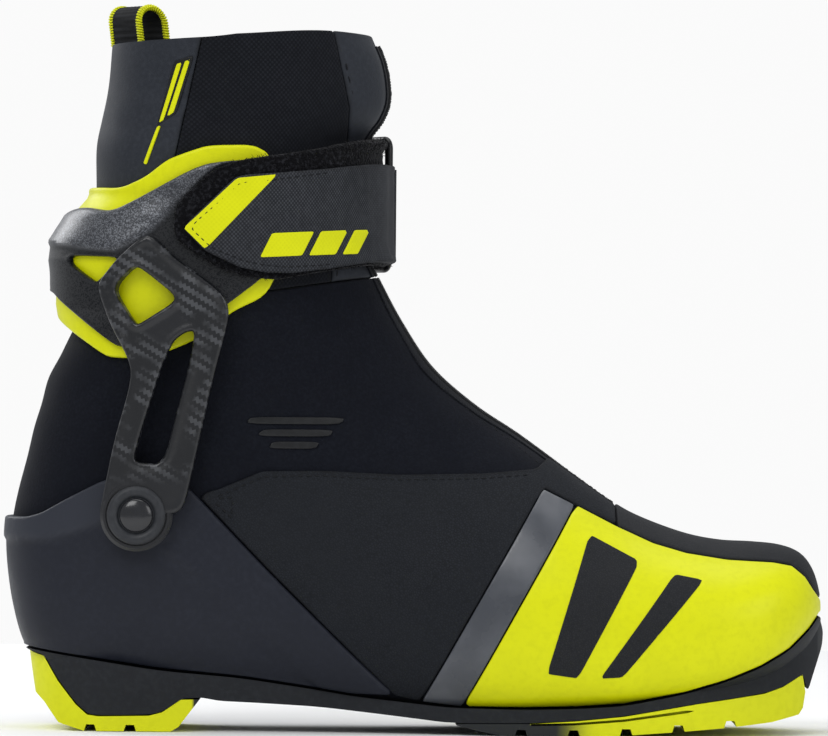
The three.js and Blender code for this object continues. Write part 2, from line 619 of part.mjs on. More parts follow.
const capOutline = [
  ...moved(LIME_TOP, 0, 2 * GAP), ...side([[152, 49]]), new THREE.Vector2(stretchX(152), stretchZ(90)),
  new THREE.Vector2(LIME_TOP[0].x, stretchZ(90)),
];

const overlay = (options) => sheet({ ...LAYER.overlay, ...options });
for (const [name, half, start] of [["lateral", LATERAL, -162], ["medial", MEDIAL, 0]]) {
  const range = { from: 1.2, to: 2.42, start, end: start + 162 };
  const open = overlay(range).subtract(zipLane(GAP));
  add(`side_panel_${name}`, open.intersect(prism(panelOutline, half)), "synthetic");
  add(`stripe_${name}`, open.intersect(prism(stripeOutline, half)), "glossPrint");
}
add("toe_overlay", overlay({ from: 1.88 }).intersect(prism(limeOutline)), "limePlastic");
add("toe_cap", overlay({ from: 2.14, start: -108, end: 108 }).intersect(prism(capOutline)), "coatedFabric");

// ---------------------------------------------------------------- pivots
const pinProfile = [
  [0, PIVOT_FACE - PIN_DEPTH + GAP], [PIVOT_PIN_RADIUS, PIVOT_FACE - PIN_DEPTH + GAP],
  [PIVOT_PIN_RADIUS, EYE.outer - GAP], [0, EYE.outer - GAP],
];
const capProfile = [
  [0, EYE.outer + GAP], [CAP_RADIUS, EYE.outer + GAP], [CAP_RADIUS, EYE.outer + GAP + CAP_THICKNESS * 0.6],
  [CAP_RADIUS - 0.8, EYE.outer + CAP_THICKNESS], [CAP_DOME_RADIUS, EYE.outer + CAP_THICKNESS - 0.3],
  ...[0, 1, 2].map((i) => {
    const turn = (i * Math.PI) / 8;
    const rise = CAP_DOME_HEIGHT * Math.sin(turn);
    return [(CAP_DOME_RADIUS - 0.3) * Math.cos(turn), EYE.outer + CAP_THICKNESS + rise];
  }),
  [0, EYE.outer + CAP_THICKNESS + CAP_DOME_HEIGHT + 0.1],
];
const BUSH = { inner: PIVOT_PIN_RADIUS + PIVOT_PLAY, outer: PIVOT_PIN_RADIUS + PIVOT_PLAY + BUSH_WALL };
const bushProfile = [
  [BUSH.inner, EYE.inner], [BUSH.outer, EYE.inner], [BUSH.outer, EYE.outer], [BUSH.inner, EYE.outer],
  [BUSH.inner, EYE.inner],
];
for (const [name, place] of [["medial", (solid) => solid], ["lateral", mirrorY]]) {
  add(`pivot_pin_${name}`, place(turned(pinProfile, PIVOT.x, PIVOT.z)), "steel");
  add(`pivot_cap_${name}`, place(turned(capProfile, PIVOT.x, PIVOT.z)), "blackPlastic");
  add(`pivot_bush_${name}`, place(turned(bushProfile, PIVOT.x, PIVOT.z)), "blackPlastic");
}

// ---------------------------------------------------------------- cuff
// The cuff stands off behind the heel tendon: a bulge that fades out round the sides, and up and down.
const BULGE_HEIGHTS = side([[0, 136], [0, 143], [0, 150], [0, 157], [0, 167], [0, 176], [0, 186], [0, 193]])
  .map((p) => p.y);
const BULGE_SIZES = [0, 2, 6.5, 9, 11.5, 11.5, 6.5, 0];

function bulge(at, degrees) {
  const z = surfacePoint(at, degrees).z;
  const backness = Math.max(0, -Math.cos(THREE.MathUtils.degToRad(degrees)));
  const i = BULGE_HEIGHTS.findIndex((height) => height > z);
  if (i <= 0) return 0;
  const t = (z - BULGE_HEIGHTS[i - 1]) / (BULGE_HEIGHTS[i] - BULGE_HEIGHTS[i - 1]);
  return THREE.MathUtils.lerp(BULGE_SIZES[i - 1], BULGE_SIZES[i], t) * backness ** 1.6;
}

const cuffSheet = (layer, options) => sheet({
  from: 0.4,
  to: 1.45,
  ...options,
  inner: (at, degrees) => layer.inner + bulge(at, degrees),
  outer: (at, degrees) => layer.outer + bulge(at, degrees),
});

const cuffOutline = side([
  [-145, 186], [-131, 186.5], [-122.9, 188.7], [-113.1, 187.1], [-109, 187.9], [-99.9, 192.4],
  [-82.5, 201.7], [-74.8, 204.5], [-53.9, 206.3], [-48.4, 192], [-50, 169.7], [-56.8, 162.5],
  [-67.5, 154.4], [-78.6, 146], [-96.5, 139], [-107.7, 137.9], [-117.8, 145.1], [-129.4, 154.2],
  [-134, 158.8], [-145, 160],
]);
const liningOutline = side([
  [-145, 196], [-119.4, 195.9], [-108.2, 195.3], [-99, 199.2], [-90.8, 205.5], [-83.9, 208.1],
  [-75.9, 210.7], [-59.7, 211], [-53.6, 207.8], [-48.7, 192], [-49.6, 166.8], [-54.9, 156.7],
  [-67.3, 150.8], [-78.6, 141.3], [-96.5, 134], [-109.3, 134.6], [-112.9, 135.2], [-127.7, 145.3],
  [-133, 150], [-145, 150],
]);
const rearWindow = side([
  [-126.8, 171.2], [-109.3, 170.5], [-108.7, 169.2], [-115.7, 161.7], [-117.3, 161.9], [-126.7, 168.3],
]);
const armWindow = side([
  [-102.5, 167.1], [-108.4, 161.6], [-109.5, 158], [-101.3, 146.2], [-99.1, 147.3], [-87.3, 154.6],
  [-88.1, 157.5], [-99.7, 166.4],
]);
const armSlot = side([
  [-80, 144.2], [-83.6, 143.5], [-88, 140.1], [-92.4, 129.4], [-101.1, 100.9], [-100.9, 96.9],
  [-90.9, 96.2], [-86.3, 114.5], [-81.1, 135.3],
]);
const armOutline = side([
  [-96.8, 179], [-88.3, 170.9], [-74.3, 161.2], [-69.4, 156.8], [-67.9, 152.9], [-67.8, 147.9],
  [-73.2, 127], [-79.4, 97.8], [-83.1, 80.8], [-87.2, 78], [-113.6, 78], [-113.5, 80.6],
  [-108.9, 104.2], [-104.1, 121.1], [-102.8, 128.9], [-104.3, 134.6], [-111, 146.5], [-115.4, 158.3],
  [-115.1, 161.9], [-108.5, 170], [-102.3, 175.6],
]);

const cuffShell = cuffSheet(LAYER.cuffShell, { start: 54, end: 306 })
  .intersect(prism(cuffOutline)).subtract(prism(rearWindow)).subtract(prism(armWindow));
add("cuff_lining", cuffSheet(LAYER.cuffLining, { start: 54, end: 306 }).intersect(prism(liningOutline)),
  "limePlastic");

// An arm: a pierced plate over the cuff's side, ending in a flat eye on its pivot.
function arm(start, half, place) {
  const plate = cuffSheet(LAYER.arm, { start, end: start + 126 }).intersect(prism(armOutline, half))
    .subtract(prism(armWindow)).subtract(prism(armSlot));
  const eye = disc(EYE_RADIUS, PIVOT.x, PIVOT.z, EYE.inner, EYE.outer);
  const bore = disc(BUSH.outer + GAP, PIVOT.x, PIVOT.z, 0, FAR);
  const inside = box([-FAR, FAR], [0, EYE.inner], [-FAR, PIVOT.z + EYE_RADIUS * 1.4]);
  const capRoom = disc(CAP_RADIUS + GAP, PIVOT.x, PIVOT.z, EYE.outer, FAR);
  return plate.subtract(place(inside)).add(place(eye)).subtract(place(bore)).subtract(place(capRoom));
}
add("arm_lateral", arm(-162, LATERAL, mirrorY), "carbon");
add("arm_medial", arm(36, MEDIAL, (solid) => solid), "carbon");

// ---------------------------------------------------------------- collar
const REAR_SEAM = side([[-77.2, 262], [-78.2, 251.2], [-87.5, 208.7], [-89.8, 195.2], [-93.1, 150]]);
const FRONT_SEAM = side([
  [-33.6, 262], [-32, 252.2], [-29, 239], [-25.2, 222.8], [-26, 212], [-30, 192.2], [-32, 150],
]);
const leftOf = (seam, dx) => [...moved(seam, dx, 0), new THREE.Vector2(-FAR, stretchZ(150)),
  new THREE.Vector2(-FAR, stretchZ(262))];
const rightOf = (seam, dx) => [...moved(seam, dx, 0), new THREE.Vector2(FAR, stretchZ(150)),
  new THREE.Vector2(FAR, stretchZ(262))];
const cuffBody = prism(above(CUFF_EDGE));
const collarSkin = sheet({ to: 1.2, ...LAYER.softshell }).intersect(cuffBody);
add("collar_rear", collarSkin.intersect(prism(leftOf(REAR_SEAM, -GAP / 2))), "coatedFabric");
add("collar_front", collarSkin.intersect(prism(rightOf(FRONT_SEAM, GAP / 2))), "coatedFabric");
const stretchZone = collarSkin.intersect(prism(rightOf(REAR_SEAM, GAP / 2)))
  .intersect(prism(leftOf(FRONT_SEAM, -GAP / 2)));
for (const [name, half] of [["lateral", LATERAL], ["medial", MEDIAL]]) {
  add(`collar_stretch_${name}`, stretchZone.intersect(box([-FAR, FAR], half, [0, FAR])), "stretchFabric");
}

// The pull loop: webbing bent over, sewn into the lining at the back of the collar.
const LOOP = { x: stretchX(-97.8), y: 0, top: stretchZ(262.4), turn: THREE.MathUtils.degToRad(37) };

function loopBand(grow) {
  const outerHalf = LOOP_SPAN / 2 + grow;
  const innerHalf = LOOP_SPAN / 2 - LOOP_WEBBING - grow;
  const bend = LOOP_HEIGHT - LOOP_SPAN / 2;
  const shape = new THREE.Shape();
  shape.moveTo(-outerHalf, -grow);
  shape.lineTo(-outerHalf, bend);
  shape.absarc(0, bend, outerHalf, Math.PI, 0, true);
  shape.lineTo(outerHalf, -grow);
  shape.lineTo(innerHalf, -grow);
  shape.lineTo(innerHalf, bend);
  shape.absarc(0, bend, innerHalf, 0, Math.PI, false);
  shape.lineTo(-innerHalf, -grow);
  const geometry = new THREE.ExtrudeGeometry(shape, {
    depth: LOOP_WIDTH + 2 * grow,
    bevelEnabled: false,
    curveSegments: 10,
  });
  geometry.translate(0, 0, -LOOP_WIDTH / 2 - grow);
  geometry.rotateX(Math.PI / 2);
  geometry.rotateZ(LOOP.turn);
  geometry.translate(LOOP.x, LOOP.y, LOOP.top - LOOP_HEIGHT);
  return solidOf(geometry);
}
add(
  "collar_lining",
  sheet({ to: 1.2, step: COARSE_STEP, ...LAYER.liner }).intersect(cuffBody).subtract(loopBand(GAP)),
  "foam",
);
add("pull_loop", loopBand(0), "blackPlastic");

const labelOutline = side([[-88.2, 240.5], [-82, 242.3], [-88.1, 222.7], [-94.3, 218.4]]);
add(
  "collar_label",
  sheet({ to: 0.8, start: -144, end: -72, inner: GAP, outer: GAP + 0.8 })
    .intersect(prism(labelOutline, LATERAL)),
  "limePlastic",
);

// ---------------------------------------------------------------- strap and ring
// How much of the full cuff thickness a strap clears at an angle: less over the bare front.
const overCuff = (degrees) => THREE.MathUtils.smoothstep(Math.abs(degrees), 18, 54);
const strapShift = (at, degrees) => bulge(at, degrees) - FRONT_STRAP_INSET * (1 - overCuff(degrees));
const strapSheet = (layer, options, shift = strapShift) => sheet({
  from: 0.4,
  to: 1.1,
  ...options,
  inner: (at, degrees) => layer.inner + shift(at, degrees),
  outer: (at, degrees) => layer.outer + shift(at, degrees),
});

const padOutline = side([
  [10, 213], [-17.2, 212.8], [-41.8, 208.7], [-64.2, 205.4], [-74, 201.8], [-83, 193.6], [-87.3, 189.1],
  [-88.2, 181], [-86.8, 176.6], [-80, 171.5], [-71, 166.2], [-62, 163.5], [-50.4, 162.6], [-41.5, 164.4],
  [-28, 166.8], [-15.5, 169.1], [10, 169.5],
]);
const flapOutline = side([
  [12, 205.5], [-14.3, 205.2], [-32.8, 202.6], [-50.7, 200.9], [-61.4, 200.2], [-65.9, 199.1],
  [-84.6, 181.1], [-76.5, 172.7], [-63.9, 166.9], [-55, 165.2], [-46, 165], [-32.5, 166.7],
  [-15.4, 169.9], [12, 170.4],
]);

// The ring's two upright bars stand off the strap, one carried by the tab and one by the flap.
const RING_ANGLES = { flap: 18, tab: 36 };
const RING_MIDDLE = stretchZ(191.3);
const BAR_PLAY = 0.4;
const BAR_STAND_OFF = 2.5 * GAP;
const sleeveRadius = RING_WIRE_RADIUS + BAR_PLAY + RING_SLEEVE_WALL;

// Upright, so it stands off by what the strap reaches out furthest over the ring's height.
function barPlace(degrees) {
  const outward = surfaceNormal(0.8, degrees).setZ(0).normalize();
  const strapFace = (at) => offsetPoint(at, degrees, LAYER.pad.outer + strapShift(at, degrees));
  const furthest = Math.max(...[0.5, 0.6, 0.8, 1, 1.05].map((at) => strapFace(at).dot(outward)));
  const place = strapFace(0.8);
  return place.addScaledVector(outward, furthest - place.dot(outward) + sleeveRadius + BAR_STAND_OFF);
}
const BAR = { flap: barPlace(RING_ANGLES.flap), tab: barPlace(RING_ANGLES.tab) };

function upright(radius, place, low, high, segments = 16) {
  const geometry = new THREE.CylinderGeometry(radius, radius, high - low, segments);
  geometry.rotateX(Math.PI / 2);
  geometry.translate(place.x, place.y, (low + high) / 2);
  return solidOf(geometry);
}

function crossBar(z) {
  const a = new THREE.Vector3(BAR.flap.x, BAR.flap.y, z);
  const b = new THREE.Vector3(BAR.tab.x, BAR.tab.y, z);
  const wide = a.distanceTo(b) + 2 * RING_WIRE_RADIUS;
  const geometry = new THREE.BoxGeometry(wide, 2 * RING_WIRE_RADIUS, 2 * RING_WIRE_RADIUS);
  geometry.rotateZ(Math.atan2(b.y - a.y, b.x - a.x));
  geometry.translate((a.x + b.x) / 2, (a.y + b.y) / 2, z);
  return solidOf(geometry);
}

const RING = { low: RING_MIDDLE - RING_HEIGHT / 2, high: RING_MIDDLE + RING_HEIGHT / 2 };
add(
  "strap_ring",
  union(
    upright(RING_WIRE_RADIUS, BAR.flap, RING.low, RING.high, 12),
    upright(RING_WIRE_RADIUS, BAR.tab, RING.low, RING.high, 12),
    crossBar(RING.low + RING_WIRE_RADIUS),
    crossBar(RING.high - RING_WIRE_RADIUS),
  ),
  "blackPlastic",
);

// A web's last column rises to the middle of its bar, where the sleeve takes it in.
const webShift = (end) => (at, degrees) => {
  if (degrees !== RING_ANGLES[end]) return strapShift(at, degrees);
  const outward = surfaceNormal(at, degrees);
  const toBar = BAR[end].clone().sub(offsetPoint(at, degrees, 0)).setZ(0);
  return toBar.dot(outward) - FLAP / 2 - LAYER.flap.inner;
};

const SLEEVE = { low: stretchZ(171.5), high: stretchZ(204) };
function sleeve(place, webbing) {
  return webbing.subtract(upright(sleeveRadius - GAP, place, 0, FAR))
    .add(upright(sleeveRadius, place, SLEEVE.low, SLEEVE.high))
    .subtract(upright(RING_WIRE_RADIUS + BAR_PLAY, place, 0, FAR));
}

const flapWeb = strapSheet(LAYER.flap, { start: -108, end: RING_ANGLES.flap }, webShift("flap"))
  .intersect(prism(flapOutline));
add("strap_flap", sleeve(BAR.flap, flapWeb), "synthetic");

const RIVET_AT = { station: 0.8, degrees: 81 };
const RIVET_REACH = 20; // far enough to cut its bore through every layer
const rivetPlace = offsetPoint(RIVET_AT.station, RIVET_AT.degrees, 0);
const rivetNormal = surfaceNormal(RIVET_AT.station, RIVET_AT.degrees);
function rivet(radius, low, high) {
  const geometry = new THREE.CylinderGeometry(radius, radius, high - low, 16);
  geometry.translate(0, (low + high) / 2, 0);
  geometry.applyQuaternion(
    new THREE.Quaternion().setFromUnitVectors(new THREE.Vector3(0, 1, 0), rivetNormal),
  );
  geometry.translate(rivetPlace.x, rivetPlace.y, rivetPlace.z);
  return solidOf(geometry);
}
const rivetBore = rivet(RIVET_RADIUS + GAP, -RIVET_REACH, RIVET_REACH);
const tabWeb = strapSheet(LAYER.flap, { from: 0.6, to: 1, start: RING_ANGLES.tab, end: 90 }, webShift("tab"));
add("ring_tab", sleeve(BAR.tab, tabWeb).subtract(rivetBore), "synthetic");
add(
  "tab_rivet",
  rivet(RIVET_RADIUS, LAYER.cuffShell.inner + GAP, LAYER.flap.outer + RIVET_HEAD / 2)
    .add(rivet(2 * RIVET_RADIUS, LAYER.flap.outer + GAP, LAYER.flap.outer + RIVET_HEAD)),
  "steel",
);
add("cuff_shell", cuffShell.subtract(rivetBore), "metallicPlastic");

const medialEnd = box([-FAR, stretchX(-66)], MEDIAL, [0, FAR]);
add(
  "strap_base",
  strapSheet(LAYER.pad, { start: -126, end: 126 }).intersect(prism(padOutline)).subtract(medialEnd)
    .subtract(rivetBore),
  "pile",
);

// ---------------------------------------------------------------- front zip
const zipBand = (half) => box([-FAR, FAR], [-half, half], [0, FAR]);
const zipSheet = (layer, range) => sheet({ ...range, start: -ANGLE_STEP, end: ANGLE_STEP, ...layer });
const zipLowerZone = prism(below(moved(LOWER_EDGE, 0, -EDGE_GAP)))
  .intersect(box([-FAR, stretchX(71.5)], BOTH, [stretchZ(70), FAR]));
const zipAnkleZone = prism(above(moved(LOWER_EDGE, 0, EDGE_GAP)))
  .intersect(prism(below(moved(CUFF_EDGE, 0, -EDGE_GAP))));
for (const [name, range, zone] of [
  ["lower", { from: 1.28, to: 2.28 }, zipLowerZone],
  ["ankle", { from: 1, to: 1.88 }, zipAnkleZone],
  ["upper", { from: 0.2, to: 1.1 }, cuffBody],
]) {
  const place = (layer, half) => zipSheet(layer, range).intersect(zipBand(half)).intersect(zone);
  add(`zip_tape_${name}`, place(LAYER.zipTape, ZIP_HALF), "blackPlastic");
  add(`zip_coil_${name}`, place(LAYER.zipCoil, COIL_WIDTH / 2), "blackPlastic");
}

// The slider straddles the coil where the front of the shaft is straight.
const sliderTop = stretchZ(207);
const frontX = offsetPoint(0.8, 0, 0).x;
const besideFront = offsetPoint(0.8, ANGLE_STEP, 0);
const strapDrop = ((frontX - besideFront.x) * SLIDER_WIDTH) / 2 / besideFront.y;
const sliderBody = box(
  [frontX + LAYER.zipTape.outer + 2 * GAP, frontX + LAYER.pad.inner - FRONT_STRAP_INSET - strapDrop - GAP],
  [-SLIDER_WIDTH / 2, SLIDER_WIDTH / 2],
  [sliderTop - SLIDER_LENGTH, sliderTop],
).subtract(box(
  [frontX - FAR, frontX + LAYER.zipCoil.outer + 2 * GAP],
  [-COIL_WIDTH / 2 - GAP, COIL_WIDTH / 2 + GAP],
  [0, FAR],
));
add("zip_slider", sliderBody, "steel");

// ---------------------------------------------------------------- the object's own origin
// The middle of the footprint on the ground.
const bounds = new THREE.Box3().setFromObject(group);
const middle = bounds.getCenter(new THREE.Vector3());
for (const mesh of group.children) mesh.geometry.translate(-middle.x, -middle.y, -bounds.min.z);

export default group;
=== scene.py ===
"""The looks of a cross country skate boot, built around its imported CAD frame.

The soft boot is one surface: level sections down the shaft, fanned sections through the ankle and
upright ones to the toe. Each panel, shell and lining is a piece of that surface, cut by an outline
drawn in the side view and lifted to its own layer. Outlines are in millimetres.
"""
import logging
import math
from contextlib import contextmanager
from dataclasses import dataclass, field
from enum import Enum
from typing import Callable, Iterator

import bmesh
import bpy
import numpy as np
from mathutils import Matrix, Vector
from mathutils.bvhtree import BVHTree


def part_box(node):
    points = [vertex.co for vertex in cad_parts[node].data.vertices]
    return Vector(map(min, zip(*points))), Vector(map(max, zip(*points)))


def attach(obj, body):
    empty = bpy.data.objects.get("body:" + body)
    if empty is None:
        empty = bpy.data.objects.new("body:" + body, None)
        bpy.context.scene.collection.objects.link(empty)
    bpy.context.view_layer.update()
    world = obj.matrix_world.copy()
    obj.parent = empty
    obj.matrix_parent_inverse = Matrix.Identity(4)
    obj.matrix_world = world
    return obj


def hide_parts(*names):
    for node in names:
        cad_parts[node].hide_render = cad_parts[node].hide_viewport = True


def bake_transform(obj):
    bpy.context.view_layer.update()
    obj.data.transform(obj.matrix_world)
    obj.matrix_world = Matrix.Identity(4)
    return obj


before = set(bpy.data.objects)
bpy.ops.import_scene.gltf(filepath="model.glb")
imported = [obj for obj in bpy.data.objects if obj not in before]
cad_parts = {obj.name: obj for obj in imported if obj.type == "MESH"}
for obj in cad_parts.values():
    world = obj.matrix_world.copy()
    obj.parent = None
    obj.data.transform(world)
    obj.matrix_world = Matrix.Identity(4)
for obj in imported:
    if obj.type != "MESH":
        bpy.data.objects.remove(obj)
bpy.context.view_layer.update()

Rows = np.ndarray
Piece = bpy.types.Object
Socket = bpy.types.NodeSocket
LOG = logging.getLogger("skate_boot")
MM = 0.001
GAP = 0.3


def outline(text: str) -> Rows:
    """Reads a side outline.

    Args:
        text: pairs "x,z" in millimetres, parted by blanks.

    Returns:
        An array of points, one row each.
    """
    return np.array([[float(v) for v in pair.split(",")] for pair in text.split()])


# The boot's outlines, the same as the CAD's.
FRONT_LINE = outline("""
    -23,262 -17.6,247 -13.5,237.3 -12,227.2 -14.2,220.7 -18.4,215.5 -20.6,211 -20.6,202 -20.6,193
    -20.6,184 -20.6,176 -19,170 -15.8,163.5 -7,147.3 4.3,130.9 19.9,117.3 36.6,106.3 56.8,91.7 71.7,81.4
    82.2,76.1 97.3,70.8 110,68.4 121.8,67.8 131.6,66.8 138.4,64.3 142.4,59.6 144.8,52.5 145.6,44.5
""")
BACK_LINE = outline("""
    -111,258 -111.9,247.6 -113.2,231.8 -115.6,220.2 -117.3,209.4 -117.2,195.7 -117,180.6 -119,162.6
    -125,145.3 -134.2,126.5 -140.2,104.8 -144.7,86.8 -147,74.2 -147,61.6 -144.7,45.4 -140.3,31 -132.3,21.4
    -113.6,18.6 -91.9,16.3 -63.1,14.4 -37.5,11.7 -5.5,8.4 23.3,6.8 58.3,7.8 96.4,12.8 124,20.2 137.6,29.4
    143.7,37.7 145.6,44.5
""")
RAND_TOP = outline("""
    -141.7,29.2 -118.7,25.8 -91.6,21.7 -63.2,19.4 -37.6,15.7 -22.8,13.3 -4.8,11.4 12.5,9.6 38.8,9.2
    58.2,9.8 75.2,11 96.4,15.3 111.4,19.8 124,24.9 134.4,30.9 141.9,38 146.2,43.5
""")
BUMPER = outline("148.4,36.7 147.9,32 145.2,24.4 142.1,15.4")
FORE_SEAM = outline("140.2,22.1 132.7,17.8 125.9,15.6 100.7,12 75.2,7.6 58.3,5.8 41.4,4.6 12.6,4.2")
WAIST = outline("-6.9,6.4 -35,9.4 -58,10.6 -70.3,11.1")
HEEL_SEAM = outline("""
    -77.1,12.3 -84,11.9 -90.8,7.3 -95.5,6.1 -113.8,5.7 -117.8,6.2 -122.1,9.9 -128.8,18.2 -134.1,26.8
    -140.6,28.5
""")
FOOTPRINT = outline("""
    -140.6,0 -137,-14 -126,-26 -106,-31.5 -66,-30 -20,-32 22,-39.5 60,-44.5 90,-43 115,-36 134,-23 145,-8
    148.4,4.5 145,17 134,30 115,40.5 90,44.5 60,42.5 22,35 -20,29 -66,29 -106,31 -126,26 -137,14
""")
LOWER_EDGE = outline("-160,97 -14,97 14,119 42,143")
CUFF_EDGE = outline("-160,158 -60,158 12,169")
COUNTER_EDGE = outline("""
    -152,77 -141.4,76.8 -135.7,78.3 -126,83.7 -112.1,90.7 -96.2,91.5 -81.7,87.7 -77.7,83.6 -53.4,58.3
    -14.6,20 -8,13.6
""")
STRIPE_REAR = outline("45.5,88.5 2.4,11.6")
STRIPE_FRONT = outline("56.8,82.9 16.6,9.9")
LIME_TOP = outline("72.5,75.2 85.4,69.4 97.2,66 112,63.7 128.7,62.8 135.6,61.5 140.5,57.5 143.5,53 147,48.5")
CUFF_SHELL = outline("""
    -145,186 -131,186.5 -122.9,188.7 -113.1,187.1 -109,187.9 -99.9,192.4 -82.5,201.7 -74.8,204.5
    -53.9,206.3 -48.4,192 -50,169.7 -56.8,162.5 -67.5,154.4 -78.6,146 -96.5,139 -107.7,137.9 -117.8,145.1
    -129.4,154.2 -134,158.8 -145,160
""")
CUFF_LINING = outline("""
    -145,196 -119.4,195.9 -108.2,195.3 -99,199.2 -90.8,205.5 -83.9,208.1 -75.9,210.7 -59.7,211 -53.6,207.8
    -48.7,192 -49.6,166.8 -54.9,156.7 -67.3,150.8 -78.6,141.3 -96.5,134 -109.3,134.6 -112.9,135.2
    -127.7,145.3 -133,150 -145,150
""")
REAR_WINDOW = outline("-126.8,171.2 -109.3,170.5 -108.7,169.2 -115.7,161.7 -117.3,161.9 -126.7,168.3")
ARM_WINDOW = outline("""
    -102.5,167.1 -108.4,161.6 -109.5,158 -101.3,146.2 -99.1,147.3 -87.3,154.6 -88.1,157.5 -99.7,166.4
""")
ARM_SLOT = outline("""
    -80,144.2 -83.6,143.5 -88,140.1 -92.4,129.4 -101.1,100.9 -100.9,96.9 -90.9,96.2 -86.3,114.5
    -81.1,135.3
""")
ARM = outline("""
    -96.8,179 -88.3,170.9 -74.3,161.2 -69.4,156.8 -67.9,152.9 -67.8,147.9 -73.2,127 -79.4,97.8 -83.1,80.8
    -87.2,78 -113.6,78 -113.5,80.6 -108.9,104.2 -104.1,121.1 -102.8,128.9 -104.3,134.6 -111,146.5
    -115.4,158.3 -115.1,161.9 -108.5,170 -102.3,175.6
""")
REAR_SEAM = outline("-77.2,262 -78.2,251.2 -87.5,208.7 -89.8,195.2 -93.1,150")
FRONT_SEAM = outline("-33.6,262 -32,252.2 -29,239 -25.2,222.8 -26,212 -30,192.2 -32,150")
PAD = outline("""
    10,213 -17.2,212.8 -41.8,208.7 -64.2,205.4 -74,201.8 -83,193.6 -87.3,189.1 -88.2,181 -86.8,176.6
    -80,171.5 -71,166.2 -62,163.5 -50.4,162.6 -41.5,164.4 -28,166.8 -15.5,169.1 10,169.5
""")
FLAP = outline("""
    12,205.5 -14.3,205.2 -32.8,202.6 -50.7,200.9 -61.4,200.2 -65.9,199.1 -84.6,181.1 -76.5,172.7
    -63.9,166.9 -55,165.2 -46,165 -32.5,166.7 -15.4,169.9 12,170.4
""")

# Station, half widths, widest place, front and back powers, and the shift sideways.
SECTIONS = np.array([
    (0.0, 40, 40, 0.5, 2.2, 2.2, 0), (0.5, 39, 39, 0.5, 2.2, 2.3, 0),
    (1.0, 37.5, 37.5, 0.52, 2.1, 2.4, 0), (1.2, 36.5, 36.5, 0.58, 2.0, 2.4, 0),
    (1.36, 36, 36, 0.64, 2.0, 2.4, 0), (1.5, 36, 36, 0.64, 1.9, 2.9, 0),
    (1.7, 38.5, 37, 0.64, 1.9, 3.4, 0), (1.85, 43.5, 40.5, 0.63, 1.9, 3.8, 0),
    (2.0, 47.5, 45, 0.62, 2.0, 4, 0.5), (2.2, 49.5, 47.5, 0.6, 2.1, 4, 1.5),
    (2.4, 48, 47.5, 0.58, 2.2, 3.8, 3), (2.6, 41.5, 42.5, 0.56, 2.3, 3.2, 4),
    (2.8, 28, 30, 0.52, 2.3, 2.6, 4.5), (2.93, 14, 15, 0.5, 2.2, 2.2, 4.5),
    (3.0, 0, 0, 0.5, 2.1, 2.1, 4.5),
])

ZIP_COVER = outline("-9,172 -4,150 4.5,134.5 19,119 36,107 56,91 74,79.5")


def moved(points: Rows, dx: float, dz: float) -> Rows:
    """The same outline, shifted by dx and dz."""
    return points + np.array([dx, dz])


def closed(*parts: Rows) -> Rows:
    """Joins outlines and loose points into one closed outline."""
    return np.vstack([np.atleast_2d(np.asarray(part, float)) for part in parts])


EVERYWHERE = outline("-200,-50 200,-50 200,300 -200,300")


def above(points: Rows) -> Rows:
    """Everything over an open line that runs towards +X."""
    far = 400.0
    return closed(points, (far, points[-1][1]), (far, far), (-far, far), (-far, points[0][1]))


def below(points: Rows) -> Rows:
    """Everything under an open line that runs towards +X."""
    far = 400.0
    ends = [(-far, points[0][1]), (-far, -far), (far, -far), (far, points[-1][1])]
    return closed(ends, points[::-1])


def rounded(points: Rows, times: int = 2, share: float = 0.2) -> Rows:
    """Rounds a closed outline's corners by cutting each of them.

    Args:
        points: the corners.
        times: how often the corners are cut.
        share: how much of each edge a cut takes.

    Returns:
        The outline with its corners rounded.
    """
    for _ in range(times):
        after = np.roll(points, -1, axis=0)
        first = points * (1 - share) + after * share
        second = points * share + after * (1 - share)
        points = np.stack([first, second], axis=1).reshape(-1, 2)
    return points


def catmull(points: Rows, count: int) -> Rows:
    """A smooth line through points.

    Args:
        points: the points that the line passes through.
        count: how many steps the whole line takes.

    Returns:
        count + 1 points along the line.
    """
    last = len(points) - 1
    t = np.linspace(0, last, count + 1)
    i = np.minimum(t.astype(int), last - 1)
    w = (t - i)[:, None]
    p0, p1 = points[np.maximum(i - 1, 0)], points[i]
    p2, p3 = points[np.minimum(i + 1, last)], points[np.minimum(i + 2, last)]
    v0, v1 = (p2 - p0) / 2, (p3 - p1) / 2
    return (2 * p1 - 2 * p2 + v0 + v1) * w**3 + (-3 * p1 + 3 * p2 - 2 * v0 - v1) * w**2 + v0 * w + p1


def signed_distance(points: Rows, polygon: Rows) -> Rows:
    """Distance to a closed outline, positive inside it.

    Args:
        points: rows of (x, z).
        polygon: the outline's corners.

    Returns:
        One distance for each point.
    """
    x, z = points[:, 0], points[:, 1]
    best = np.full(len(points), np.inf)
    inside = np.zeros(len(points), bool)
    for (ax, az), (bx, bz) in zip(polygon, np.roll(polygon, -1, axis=0)):
        ex, ez = bx - ax, bz - az
        length2 = ex * ex + ez * ez
        if length2 < 1e-12:
            continue
        t = np.clip(((x - ax) * ex + (z - az) * ez) / length2, 0, 1)
        best = np.minimum(best, (x - ax - t * ex) ** 2 + (z - az - t * ez) ** 2)
        if az != bz:
            crosses = ((az > z) != (bz > z)) & (x < ex * (z - az) / ez + ax)
            inside ^= crosses
    return np.where(inside, 1, -1) * np.sqrt(best)


